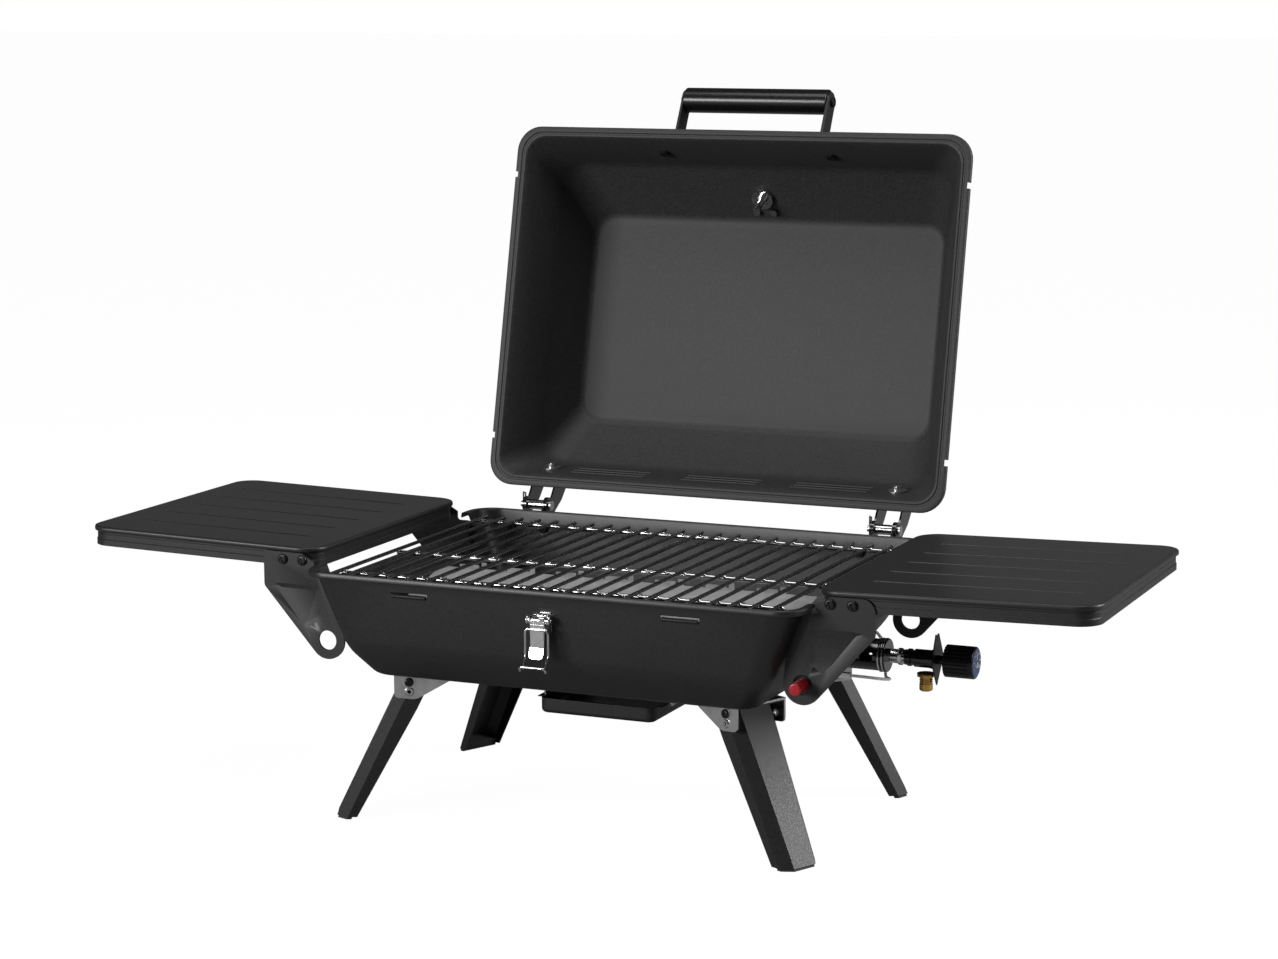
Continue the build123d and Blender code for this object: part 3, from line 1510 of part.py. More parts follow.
# ---- the whole grill ----
def assembly():
    """Every node by name, as a list of its solids."""
    right_table = placed_table()
    right_bracket = table_bracket(right_flange_corner)
    nodes = {
        "firebox_tub": [firebox_tub()],
        "grate_rests": grate_rests(),
        "cooking_grate": [cooking_grate()],
        "burner_tube": [burner_tube()],
        "burner_brackets": burner_brackets(),
        "flame_tamer": [flame_tamer()],
        "right_side_table": [right_table],
        "left_side_table": [mirror_x(right_table)],
        "right_table_bracket": [right_bracket],
        "left_table_bracket": [mirror_x(table_bracket(left_flange_corner))],
        "table_screws": table_screws(),
        "table_bracket_bolts": table_bracket_bolts(),
        "leg_brackets": each_leg(leg_bracket),
        "leg_pivot_bolts": each_leg(leg_pivot_bolt),
        "drip_tray": [drip_tray()],
        "drip_tray_rails": drip_tray_rails(),
        "tub_hinge_brackets": [tub_hinge_bracket(side * hinge_x) for side in (-1, 1)],
        "hinge_bolts": hinge_bolts(),
        "hinge_pins": [hinge_pin(side * hinge_x) for side in (-1, 1)],
        "hinge_clips": [hinge_clip(side * hinge_x) for side in (-1, 1)],
        "hinge_spacers": [hinge_spacer(side * hinge_x) for side in (-1, 1)],
        "latch_base": [latch_base()],
        "latch_rivets": latch_rivets(),
        "latch_lever": [latch_lever()],
        "latch_bail": [latch_bail()],
        "venturi_tube": [venturi_tube()],
        "venturi_collar": [venturi_collar()],
        "gas_coupling": [gas_coupling()],
        "valve_body": [valve_body()],
        "gas_inlet_nipple": [gas_inlet_nipple()],
        "valve_plate": [valve_plate()],
        "control_knob": [control_knob()],
        "knob_cap": [knob_cap()],
        "igniter_body": [igniter_body()],
        "igniter_nut": [igniter_nut()],
        "igniter_button": [igniter_button()],
        "igniter_terminal": [igniter_terminal()],
        "ignition_lead": [ignition_lead()],
        "lead_grommet": [lead_grommet()],
        "spark_electrode": [spark_electrode()],
    }
    for side, side_name in ((-1, "left"), (1, "right")):
        for end, end_name in ((-1, "front"), (1, "rear")):
            nodes[end_name + "_" + side_name + "_leg"] = [leg(side, end)]
            nodes[end_name + "_" + side_name + "_foot"] = [leg_foot(side, end)]
    lid = {
        "lid_shell": [lid_shell()],
        "lid_hinge_arms": [lid_hinge_arms(side * hinge_x) for side in (-1, 1)],
        "lid_hinge_nuts": [lid_hinge_nut(side * hinge_x) for side in (-1, 1)],
        "lid_handle_tube": [lid_handle_tube()],
        "lid_handle_arms": both_sides(lid_handle_arm()),
        "lid_handle_screws": lid_handle_screws(),
        "thermometer_dial": [thermometer_dial()],
        "thermometer_nut": [thermometer_nut()],
        "thermometer_pins": thermometer_pins(),
    }
    for name, shapes in lid.items():
        nodes[name] = [opened(shape) for shape in shapes]
    return nodes


def solids_of(shapes):
    """All solids of a node as one list."""
    return [solid for shape in shapes for solid in shape.solids()]


def base_centre(nodes):
    """Middle of the whole grill's box, on the ground."""
    groups = [Compound(children=solids_of(shapes)) for shapes in nodes.values()]
    box = Compound(children=groups).bounding_box()
    return (box.min.X + box.max.X) / 2, (box.min.Y + box.max.Y) / 2


def write_parts():
    """Move the grill over its origin and write one file for each node."""
    nodes = assembly()
    centre_x, centre_y = base_centre(nodes)
    print("moved by", round(-centre_x, 4), round(-centre_y, 4))
    for name, shapes in nodes.items():
        moved = [Pos(-centre_x, -centre_y, 0) * solid for solid in solids_of(shapes)]
        export_step(Compound(children=moved) if len(moved) > 1 else moved[0], "parts/" + name + ".step")


write_parts()
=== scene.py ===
import math

import bmesh
import bpy
from mathutils import Matrix, Vector


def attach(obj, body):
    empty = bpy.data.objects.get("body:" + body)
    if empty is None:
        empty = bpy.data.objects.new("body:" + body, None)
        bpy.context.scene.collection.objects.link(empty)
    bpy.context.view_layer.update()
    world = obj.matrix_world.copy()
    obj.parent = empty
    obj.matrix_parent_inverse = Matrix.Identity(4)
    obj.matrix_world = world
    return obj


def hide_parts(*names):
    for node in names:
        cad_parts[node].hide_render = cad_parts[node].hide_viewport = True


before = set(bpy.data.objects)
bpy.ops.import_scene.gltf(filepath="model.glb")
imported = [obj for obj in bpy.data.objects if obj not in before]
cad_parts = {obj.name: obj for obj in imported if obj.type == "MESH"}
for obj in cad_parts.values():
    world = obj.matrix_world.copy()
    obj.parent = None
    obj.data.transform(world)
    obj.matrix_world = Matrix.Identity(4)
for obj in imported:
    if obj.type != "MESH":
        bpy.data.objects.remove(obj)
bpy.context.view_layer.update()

# Portable gas barbecue grill. Pieces are drawn in the grill's own millimetres, with x = 0 and y = 0 in
# the middle of the tub and the ground at z = 0, and go to the frame, in metres, when they are finished.
MM = 0.001
FRAME_STEP_Y = -85.2893

HINGE_Y = 200.0
HINGE_Z = 237.5
LID_OPEN_ANGLE = 103.0


def rotation(degrees, axis):
    """Turn about the X, Y or Z axis."""
    return Matrix.Rotation(math.radians(degrees), 4, axis)


TO_FRAME = Matrix.Scale(MM, 4) @ Matrix.Translation((0, FRAME_STEP_Y, 0))
SWING_OPEN = (Matrix.Translation((0, HINGE_Y, HINGE_Z))
              @ rotation(-LID_OPEN_ANGLE, "X")
              @ Matrix.Translation((0, -HINGE_Y, -HINGE_Z)))


# ---- camera ----
CAMERA_AT = (1124.3, -2539.3, 768.6)
CAMERA_AZIMUTH = 23.60
CAMERA_ELEVATION = 9.47
CAMERA_ROLL = -0.22
CAMERA_LENS = 86.63


def in_frame(point):
    """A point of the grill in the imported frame, in metres."""
    return TO_FRAME @ Vector(point)


def make_camera():
    """Camera at the viewing angle, looking at the middle of the grill."""
    data = bpy.data.cameras.new("camera")
    data.lens = CAMERA_LENS
    data.sensor_width = 36.0
    data.clip_end = 60.0
    camera = bpy.data.objects.new("camera", data)
    bpy.context.scene.collection.objects.link(camera)
    turn = (rotation(CAMERA_AZIMUTH, "Z")
            @ rotation(90 - CAMERA_ELEVATION, "X")
            @ rotation(CAMERA_ROLL, "Z"))
    camera.matrix_world = Matrix.Translation(in_frame(CAMERA_AT)) @ turn
    bpy.context.scene.camera = camera


make_camera()


# ---- igniter lead ----
LEAD_DIAMETER = 0.0028
LEAD_POINTS = [
    (0.2500, -0.1667893, 0.1615),
    (0.2620, -0.1667893, 0.1615),
    (0.2740, -0.1532893, 0.1575),
    (0.2745, -0.1302893, 0.1525),
    (0.2625, -0.1062893, 0.1475),
    (0.2530, -0.0832893, 0.1440),
    (0.2470, -0.0617893, 0.1520),
    (0.2410, -0.0517893, 0.1670),
    (0.2300, -0.0482893, 0.1780),
    (0.2160, -0.0482893, 0.1780),
]


def new_wire(name, points, radius, round_steps, length_steps):
    """Curve object of round wire along a smooth line that passes near its points."""
    curve = bpy.data.curves.new(name, "CURVE")
    curve.dimensions = "3D"
    curve.bevel_depth = 1.0
    curve.bevel_resolution = round_steps
    curve.resolution_u = length_steps
    curve.use_fill_caps = True
    spline = curve.splines.new("NURBS")
    spline.points.add(len(points) - 1)
    for point, place in zip(spline.points, points):
        point.co = (*place, 1)
        point.radius = radius
    spline.order_u = 3
    spline.use_endpoint_u = True
    spline.resolution_u = length_steps
    return bpy.data.objects.new(name, curve)


def make_lead():
    """White igniter lead from the spade connector to the grommet in the end wall."""
    lead = new_wire("igniter_lead_wire", LEAD_POINTS, LEAD_DIAMETER / 2, 4, 12)
    bpy.context.scene.collection.objects.link(lead)
    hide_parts("ignition_lead")
    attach(lead, "firebox")
    return lead


lead = make_lead()


# ---- finishes ----
def new_group(name, inputs, outputs):
    """Shader node group with its sockets, and its inner input and output nodes."""
    group = bpy.data.node_groups.new(name, "ShaderNodeTree")
    for label, kind, value in inputs:
        socket = group.interface.new_socket(name=label, in_out="INPUT", socket_type=kind)
        if value is not None:
            socket.default_value = value
    for label, kind in outputs:
        group.interface.new_socket(name=label, in_out="OUTPUT", socket_type=kind)
    return group, group.nodes.new("NodeGroupInput"), group.nodes.new("NodeGroupOutput")


def add_noise(group, vector, scale, detail, roughness):
    """Noise texture on given coordinates; scale is a socket or a number."""
    noise = group.nodes.new("ShaderNodeTexNoise")
    group.links.new(vector, noise.inputs["Vector"])
    if isinstance(scale, (int, float)):
        noise.inputs["Scale"].default_value = scale
    else:
        group.links.new(scale, noise.inputs["Scale"])
    noise.inputs["Detail"].default_value = detail
    noise.inputs["Roughness"].default_value = roughness
    return noise.outputs["Fac"]


def add_range(group, value, low, high):
    """Map a noise's middle band on a range whose ends are sockets or numbers."""
    span = group.nodes.new("ShaderNodeMapRange")
    span.inputs["From Min"].default_value = 0.3
    span.inputs["From Max"].default_value = 0.7
    group.links.new(value, span.inputs["Value"])
    for label, end in (("To Min", low), ("To Max", high)):
        if isinstance(end, (int, float)):
            span.inputs[label].default_value = end
        else:
            group.links.new(end, span.inputs[label])
    return span.outputs["Result"]


def add_mix(group, share, first, second):
    """Mix of two colours by a share."""
    mix = group.nodes.new("ShaderNodeMix")
    mix.data_type = "RGBA"
    group.links.new(share, mix.inputs["Factor"])
    for label, colour in (("A", first), ("B", second)):
        socket = [s for s in mix.inputs if s.name == label and s.type == "RGBA"][0]
        group.links.new(colour, socket)
    return [s for s in mix.outputs if s.type == "RGBA"][0]


def make_coat_group():
    """Sprayed or moulded finish: a slow drift of colour over a fine grain."""
    group, source, target = new_group(
        "sprayed_coat",
        [("Vector", "NodeSocketVector", None), ("Base", "NodeSocketColor", (0.05, 0.05, 0.05, 1)),
         ("Grain Tone", "NodeSocketColor", (0.08, 0.08, 0.08, 1)), ("Grain Size", "NodeSocketFloat", 900.0),
         ("Rough Low", "NodeSocketFloat", 0.4), ("Rough High", "NodeSocketFloat", 0.5)],
        [("Color", "NodeSocketColor"), ("Roughness", "NodeSocketFloat"), ("Height", "NodeSocketFloat")])
    drift = add_noise(group, source.outputs["Vector"], 9.0, 3.0, 0.6)
    grain = add_noise(group, source.outputs["Vector"], source.outputs["Grain Size"], 2.0, 0.55)
    mixed = group.nodes.new("ShaderNodeMath")
    mixed.operation = "MULTIPLY_ADD"
    group.links.new(drift, mixed.inputs[0])
    mixed.inputs[1].default_value = 0.12
    group.links.new(grain, mixed.inputs[2])
    share = add_range(group, mixed.outputs[0], 0.0, 1.0)
    share_node = share.node
    share_node.inputs["From Min"].default_value = 0.42
    share_node.inputs["From Max"].default_value = 0.7
    group.links.new(add_mix(group, share, source.outputs["Base"], source.outputs["Grain Tone"]),
                    target.inputs["Color"])
    rough = add_range(group, mixed.outputs[0], source.outputs["Rough Low"], source.outputs["Rough High"])
    group.links.new(rough, target.inputs["Roughness"])
    group.links.new(grain, target.inputs["Height"])
    return group


def make_metal_group():
    """Plated or rolled metal: streaks along one way, blotches and fine scratches."""
    group, source, target = new_group(
        "rolled_metal",
        [("Vector", "NodeSocketVector", None), ("Base", "NodeSocketColor", (0.5, 0.5, 0.5, 1)),
         ("Shade", "NodeSocketColor", (0.3, 0.3, 0.3, 1)), ("Blotch Size", "NodeSocketFloat", 60.0),
         ("Rough Low", "NodeSocketFloat", 0.2), ("Rough High", "NodeSocketFloat", 0.35)],
        [("Color", "NodeSocketColor"), ("Roughness", "NodeSocketFloat"), ("Height", "NodeSocketFloat")])
    stretch = group.nodes.new("ShaderNodeMapping")
    stretch.inputs["Scale"].default_value = (1.0, 1.0, 0.06)
    group.links.new(source.outputs["Vector"], stretch.inputs["Vector"])
    streaks = add_noise(group, stretch.outputs["Vector"], 1400.0, 3.0, 0.6)
    blotch = add_noise(group, source.outputs["Vector"], source.outputs["Blotch Size"], 3.0, 0.6)
    group.links.new(add_mix(group, add_range(group, blotch, 0.0, 1.0), source.outputs["Base"],
                            source.outputs["Shade"]), target.inputs["Color"])
    total = group.nodes.new("ShaderNodeMath")
    total.operation = "MULTIPLY_ADD"
    group.links.new(streaks, total.inputs[0])
    total.inputs[1].default_value = 0.5
    half = group.nodes.new("ShaderNodeMath")
    half.operation = "MULTIPLY"
    group.links.new(blotch, half.inputs[0])
    half.inputs[1].default_value = 0.5
    group.links.new(half.outputs[0], total.inputs[2])
    rough = add_range(group, total.outputs[0], source.outputs["Rough Low"], source.outputs["Rough High"])
    group.links.new(rough, target.inputs["Roughness"])
    group.links.new(streaks, target.inputs["Height"])
    return group


SPRAYED_COAT = make_coat_group()
ROLLED_METAL = make_metal_group()


def make_finish(name, group, colours, texture_size, rough, bump, metallic=0.0, specular=0.5, coat=0.0,
                coat_roughness=0.1):
    """Material from one of the two groups. Colours are linear greys or (r, g, b); bump is a depth in mm."""
    material = bpy.data.materials.new(name)
    material.use_nodes = True
    tree = material.node_tree
    shader = tree.nodes["Principled BSDF"]
    where = tree.nodes.new("ShaderNodeTexCoord")
    texture = tree.nodes.new("ShaderNodeGroup")
    texture.node_tree = group
    tree.links.new(where.outputs["Object"], texture.inputs["Vector"])
    names = [socket.name for socket in texture.inputs]
    for label, colour in zip(names[1:3], colours):
        values = (colour, colour, colour) if isinstance(colour, (int, float)) else colour
        texture.inputs[label].default_value = (*values, 1)
    texture.inputs[names[3]].default_value = texture_size
    texture.inputs["Rough Low"].default_value = rough[0]
    texture.inputs["Rough High"].default_value = rough[1]
    tree.links.new(texture.outputs["Color"], shader.inputs["Base Color"])
    tree.links.new(texture.outputs["Roughness"], shader.inputs["Roughness"])
    relief = tree.nodes.new("ShaderNodeBump")
    relief.inputs["Strength"].default_value = 1.0
    relief.inputs["Distance"].default_value = bump * MM
    tree.links.new(texture.outputs["Height"], relief.inputs["Height"])
    tree.links.new(relief.outputs["Normal"], shader.inputs["Normal"])
    shader.inputs["Metallic"].default_value = metallic
    shader.inputs["Specular IOR Level"].default_value = specular
    shader.inputs["Coat Weight"].default_value = coat
    shader.inputs["Coat Roughness"].default_value = coat_roughness
    return material


FINISHES = {
    "black_paint": make_finish("satin_black_paint", SPRAYED_COAT, (0.007, 0.013), 700.0, (0.36, 0.46), 0.016,
                               specular=0.42),
    "lid_paint": make_finish("matt_grey_black_coat", SPRAYED_COAT, (0.015, 0.032), 620.0, (0.5, 0.62), 0.03,
                             specular=0.4),
    "gloss_black": make_finish("gloss_black_enamel", SPRAYED_COAT, (0.006, 0.009), 300.0, (0.1, 0.16), 0.008,
                               coat=0.6),
    "black_screw": make_finish("black_oxide", ROLLED_METAL, (0.02, 0.012), 90.0, (0.28, 0.42), 0.01,
                               metallic=0.6),
    "zinc": make_finish("zinc_plate", ROLLED_METAL, (0.62, 0.45), 70.0, (0.24, 0.4), 0.012, metallic=1.0),
    "chrome_wire": make_finish("plated_wire", ROLLED_METAL, (0.55, 0.4), 120.0, (0.12, 0.24), 0.006,
                               metallic=1.0),
    "aluminised": make_finish("aluminised_sheet", ROLLED_METAL, (0.46, 0.33), 90.0, (0.5, 0.66), 0.02,
                              metallic=0.3),
    "bright_steel": make_finish("bright_steel", ROLLED_METAL, (0.72, 0.58), 80.0, (0.1, 0.2), 0.006,
                                metallic=1.0),
    "brass": make_finish("brass", ROLLED_METAL, ((0.62, 0.40, 0.13), (0.45, 0.27, 0.08)), 90.0, (0.18, 0.3),
                         0.01, metallic=1.0),
    "black_plastic": make_finish("black_plastic", SPRAYED_COAT, (0.004, 0.007), 900.0, (0.2, 0.28), 0.008,
                                 specular=0.35),
    "red_plastic": make_finish("red_plastic", SPRAYED_COAT, ((0.30, 0.006, 0.014), (0.38, 0.012, 0.022)),
                               500.0, (0.2, 0.28), 0.006),
    "blue_plastic": make_finish("blue_plastic", SPRAYED_COAT, ((0.003, 0.03, 0.16), (0.004, 0.04, 0.20)),
                                500.0, (0.2, 0.28), 0.006),
    "white_lead": make_finish("silicone_lead", SPRAYED_COAT, (0.8, 0.86), 500.0, (0.35, 0.45), 0.01),
    "ceramic": make_finish("ceramic", SPRAYED_COAT, (0.6, 0.68), 400.0, (0.3, 0.4), 0.01),
    "black_rubber": make_finish("black_rubber", SPRAYED_COAT, (0.012, 0.02), 800.0, (0.6, 0.72), 0.02),
}


# The grate's rods are plated wire like its cross bars; this near-black colour is a painted dark reflection of
# the lid above them, under a clear coat.
GRATE_PAINTED_DARK_REFLECTION = make_finish("rods_painted_dark_reflection", SPRAYED_COAT, (0.007, 0.012), 420.0, (0.2, 0.3), 0.01, coat=0.3)
KNOB_MARK = make_finish("white_print", SPRAYED_COAT, (0.7, 0.8), 400.0, (0.35, 0.45), 0.004)


def dress_frame():
    """Give each carried-over node the finish of its own slot."""
    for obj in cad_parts.values():
        for slot in obj.material_slots:
            key = slot.material.name.split(".")[0]
            if key in FINISHES:
                slot.material = FINISHES[key]


dress_frame()
lead.data.materials.append(FINISHES["white_lead"])


# ---- making pieces ----
SMOOTH_BELOW = math.radians(32)


def put_in_scene(bm, name):
    """Object in the scene from a bmesh that is already in metres."""
    mesh = bpy.data.meshes.new(name)
    bm.to_mesh(mesh)
    bm.free()
    piece = bpy.data.objects.new(name, mesh)
    bpy.context.scene.collection.objects.link(piece)
    return piece


def finish_piece(bm, name, body, slot, nodes=(), opened=False, softness=0.0, finish=None, scaled=False):
    """Place a bmesh drawn in millimetres, or scaled to the frame's metres, and let it stand for its nodes."""
    if opened:
        bmesh.ops.transform(bm, matrix=SWING_OPEN, verts=bm.verts)
    if not scaled:
        bmesh.ops.transform(bm, matrix=TO_FRAME, verts=bm.verts)
    piece = put_in_scene(bm, name)
    for polygon in piece.data.polygons:
        polygon.use_smooth = True
    piece.data.set_sharp_from_angle(angle=SMOOTH_BELOW)
    piece.data.materials.append(finish or FINISHES[slot])
    if softness:
        bevel = piece.modifiers.new("soft_edges", "BEVEL")
        bevel.width = softness * MM
        bevel.segments = 2
        bevel.limit_method = "ANGLE"
        bevel.angle_limit = SMOOTH_BELOW
        bevel.harden_normals = True
    if nodes:
        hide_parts(*nodes)
    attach(piece, body)
    return piece


def node_copy(node, unit=1.0):
    """Merged copy of a node's own shape in the grill's millimetres, or with unit MM in the frame's metres."""
    bm = bmesh.new()
    bm.from_mesh(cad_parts[node].data)
    if unit == 1.0:
        bmesh.ops.transform(bm, matrix=TO_FRAME.inverted(), verts=bm.verts)
    bmesh.ops.remove_doubles(bm, verts=bm.verts, dist=0.002 * unit)
    bmesh.ops.dissolve_limit(bm, angle_limit=math.radians(1.5), verts=bm.verts, edges=bm.edges)
    return bm


def round_over(bm, geom, width, steps=4, affect="EDGES"):
    """Turn sharp edges, or with affect VERTICES sharp corners, into round ones."""
    bmesh.ops.bevel(bm, geom=geom, offset=width, offset_type="OFFSET", affect=affect, segments=steps,
                    profile=0.5, material=-1)


def edges_at(verts):
    """Edges that meet some vertices, each once."""
    return list(dict.fromkeys(edge for vert in verts for edge in vert.link_edges))


def end_edges(verts, axis):
    """Edges round the two ends of a bar or block that lies along an axis (0, 1 or 2)."""
    return [edge for edge in edges_at(verts) if abs(edge.verts[0].co[axis] - edge.verts[1].co[axis]) < 0.01]


def face_out(bm):
    """Turn every face outwards."""
    bmesh.ops.recalc_face_normals(bm, faces=bm.faces)


def pull(bm, faces, step):
    """Pull faces along a step, leaving walls behind them; gives the faces that moved."""
    made = bmesh.ops.extrude_face_region(bm, geom=faces)["geom"]
    moved = [item for item in made if isinstance(item, bmesh.types.BMVert)]
    bmesh.ops.translate(bm, vec=step, verts=moved)
    return [item for item in made if isinstance(item, bmesh.types.BMFace)]


def mirrored_span(side, low, high):
    """Range of x or y from low to high on one side of the middle; side is 1 or -1."""
    return sorted((side * low, side * high))


def straight(share, low, high):
    """Values a share of the way from one row of values to another."""
    return [a + share * (b - a) for a, b in zip(low, high)]


def rounded_ring(bm, half_width, half_depth, corner, z, steps=7):
    """Edges of a rounded rectangle at a height."""
    for face in bm.faces:
        face.tag = True
    corners = bmesh.ops.create_grid(bm, x_segments=1, y_segments=1, size=1.0)["verts"]
    bmesh.ops.scale(bm, vec=(half_width, half_depth, 1.0), verts=corners)
    bmesh.ops.translate(bm, vec=(0, 0, z), verts=corners)
    round_over(bm, corners, corner, steps, affect="VERTICES")
    face = [face for face in bm.faces if not face.tag][0]
    ring = list(face.edges)
    bmesh.ops.delete(bm, geom=[face], context="FACES_ONLY")
    return ring


def ring_stack(bm, levels, steps=7):
    """Closed, capped skin through rounded rectangles, each (half width, half depth, corner, z)."""
    rings = [rounded_ring(bm, *level, steps) for level in levels]
    for low, high in zip(rings, rings[1:]):
        bmesh.ops.bridge_loops(bm, edges=low + high)
    for ring in (rings[0], rings[-1]):
        bmesh.ops.edgeloop_fill(bm, edges=ring)
    return rings


def add_block(bm, x_range, y_range, z_range, turn=None):
    """Block between two corners; turn is a rotation about its own middle."""
    corners = bmesh.ops.create_cube(bm, size=1.0)["verts"]
    ranges = (x_range, y_range, z_range)
    bmesh.ops.scale(bm, vec=[high - low for low, high in ranges], verts=corners)
    if turn is not None:
        bmesh.ops.transform(bm, matrix=turn, verts=corners)
    bmesh.ops.translate(bm, vec=[(low + high) / 2 for low, high in ranges], verts=corners)
    return corners


def add_bar(bm, start, end, radius, steps=20, end_radius=None):
    """Round bar from one point to another; it may taper."""
    start, end = Vector(start), Vector(end)
    way = end - start
    end_radius = radius if end_radius is None else end_radius
    made = bmesh.ops.create_cone(bm, cap_ends=True, cap_tris=False, segments=steps, radius1=radius,
                                 radius2=end_radius, depth=way.length)["verts"]
    turn = way.to_track_quat("Z", "Y").to_matrix().to_4x4()
    bmesh.ops.transform(bm, matrix=Matrix.Translation((start + end) / 2) @ turn, verts=made)
    return made


def carved(bm, cutters, crossing=False):
    """The first bmesh less every solid of the second; crossing solids may touch or pass each other."""
    base = put_in_scene(bm, "stock")
    tool = put_in_scene(cutters, "tool")
    cut = base.modifiers.new("cut", "BOOLEAN")
    cut.operation = "DIFFERENCE"
    cut.solver = "EXACT"
    cut.use_self = crossing
    cut.object = tool
    graph = bpy.context.evaluated_depsgraph_get()
    mesh = bpy.data.meshes.new_from_object(base.evaluated_get(graph))
    result = bmesh.new()
    result.from_mesh(mesh)
    for thing in (base, tool):
        shape = thing.data
        bpy.data.objects.remove(thing)
        bpy.data.meshes.remove(shape)
    bpy.data.meshes.remove(mesh)
    bmesh.ops.remove_doubles(result, verts=result.verts, dist=1e-4)
    return result


# ---- lid ----
LID_RIM_Z = 236.0
LID_WALL = 1.2
RIM_LEVEL = (240.0, 181.75, 25.0)
LID_MOUTH = (229.0, 171.2, 20.0)
LID_KNEE = (207.5, 155.2, 28.0)
LID_TOP = (190.0, 106.2, 24.0)
LID_KNEE_HEIGHT = 55.0
LID_HEIGHT = 100.0
# the rim from the mouth out to its edge and back: share of the flange's width, height over the rim
LID_RIM_PROFILE = [(-0.06, 2.4), (0.02, 0.8), (0.11, 0.15), (0.24, 0.15), (0.33, 1.0), (0.43, 1.0),
                   (0.52, 0.05), (0.88, 0.0), (0.96, 0.35), (1.0, 1.1), (1.0, 4.3), (0.9, 4.3),
                   (0.88, 1.7), (0.14, 2.2), (0.04, 3.4)]
LOUVRE_X = (-120.0, 0.0, 115.0)
LOUVRE_HEIGHTS = (20.0, 29.0, 38.0)
LOUVRE_HALF_LENGTH = 40.0
LOUVRE_HALF_WIDTH = 1.25
NOTCH_X = (237.0, 242.0)
NOTCH_Y = 132.7


def lid_level(height, inset=0.0):
    """Half width, half depth and corner of the lid at a height over its rim, moved in by a wall."""
    if height <= LID_KNEE_HEIGHT:
        level = straight(height / LID_KNEE_HEIGHT, LID_MOUTH, LID_KNEE)
    else:
        level = straight((height - LID_KNEE_HEIGHT) / (LID_HEIGHT - LID_KNEE_HEIGHT), LID_KNEE, LID_TOP)
    return [value - inset for value in level]


def make_lid():
    """Pressed lid: panel, sloping band, straight walls, and a rim with a groove and a turned edge."""
    bm = bmesh.new()
    inside = (LID_HEIGHT - LID_WALL, LID_KNEE_HEIGHT, 5.0)
    levels = [(*lid_level(height, LID_WALL), LID_RIM_Z + height) for height in inside]
    levels += [(*straight(share, LID_MOUTH, RIM_LEVEL), LID_RIM_Z + height)
               for share, height in LID_RIM_PROFILE]
    levels += [(*lid_level(height), LID_RIM_Z + height) for height in (5.5, LID_KNEE_HEIGHT, LID_HEIGHT)]
    rings = ring_stack(bm, levels, steps=9)
    for ring, width in ((rings[0], 5.0), (rings[1], 6.0), (rings[-2], 7.0), (rings[-1], 6.2)):
        round_over(bm, ring, width)
    face_out(bm)
    cutters = bmesh.new()
    for middle in LOUVRE_X:
        for height in LOUVRE_HEIGHTS:
            y = lid_level(height)[1]
            z = LID_RIM_Z + height
            add_block(cutters, (middle - LOUVRE_HALF_LENGTH, middle + LOUVRE_HALF_LENGTH), (y - 6, y + 6),
                      (z - LOUVRE_HALF_WIDTH, z + LOUVRE_HALF_WIDTH))
    for side in (-1, 1):
        for y in (-NOTCH_Y, NOTCH_Y):
            add_block(cutters, mirrored_span(side, *NOTCH_X), (y - 3, y + 3), (LID_RIM_Z - 1, LID_RIM_Z + 6))
    finish_piece(carved(bm, cutters), "lid_pressing", "lid", "lid_paint", ("lid_shell",), opened=True)


def make_lid_hoods():
    """Pressed hoods over the lid's louvres, open towards the rim."""
    bm = bmesh.new()
    for middle in LOUVRE_X:
        for height in LOUVRE_HEIGHTS:
            y = lid_level(height)[1]
            z = LID_RIM_Z + height
            start = (middle - LOUVRE_HALF_LENGTH - 1.5, y - 0.6, z - 2.0)
            hood = add_bar(bm, start, (middle + LOUVRE_HALF_LENGTH + 1.5, start[1], start[2]), 4.4, steps=16)
            faces = list(dict.fromkeys(face for vert in hood for face in vert.link_faces))
            geom = hood + edges_at(hood) + faces
            kept = bmesh.ops.bisect_plane(bm, geom=geom, plane_co=start, plane_no=(0, 1, 0), clear_inner=True)
            kept = [item for item in kept["geom"] if item.is_valid]
            bmesh.ops.bisect_plane(bm, geom=kept, plane_co=start, plane_no=(0, 0, 1), clear_inner=True)
    bmesh.ops.solidify(bm, geom=bm.faces[:], thickness=0.9)
    finish_piece(bm, "lid_louvre_hoods", "lid", "lid_paint", opened=True)


# ---- tub ----
TUB_MOUTH = (232.8, 180.0, 23.0)
TUB_CREASE = (206.0, 171.0, 22.0)
TUB_FLOOR = (185.0, 150.0, 18.0)
TUB_WALL = 1.5
RIM_Z = 235.5
CREASE_Z = 165.0
FLOOR_Z = 138.0
# the rim from the inside of the wall over its edge and back under it: half width, half depth, corner, height
TUB_RIM_PROFILE = [(231.0, 178.4, 21.5, 232.6), (231.5, 178.8, 21.8, 234.4), (232.6, 179.4, 22.6, 235.3),
                   (234.0, 179.8, 23.4, 235.5), (237.9, 180.2, 23.9, 235.45), (238.8, 180.7, 24.3, 235.2),
                   (239.4, 181.2, 24.6, 234.6), (240.0, 181.75, 25.0, 231.2), (239.7, 181.5, 24.9, 230.2),
                   (239.0, 181.0, 24.5, 230.0), (238.5, 180.7, 24.3, 230.5), (238.2, 180.5, 24.1, 233.5),
                   (233.6, 180.1, 23.4, 233.6)]
END_CUT_X = (200.0, 245.0)
END_CUT_HALF = 142.0
END_CUT_Z = 222.0
SLOT_X = (112.0, 148.0)
SLOT_Z = (219.6, 222.6)
DRAIN_RADIUS = 15.0


def tub_level(z, inset=0.0):
    """Half width, half depth and corner of the tub at a height, moved in by a wall."""
    if z >= CREASE_Z:
        level = straight((z - CREASE_Z) / (RIM_Z - CREASE_Z), TUB_CREASE, TUB_MOUTH)
    else:
        level = straight((z - FLOOR_Z) / (CREASE_Z - FLOOR_Z), TUB_FLOOR, TUB_CREASE)
    return [value - inset for value in level]


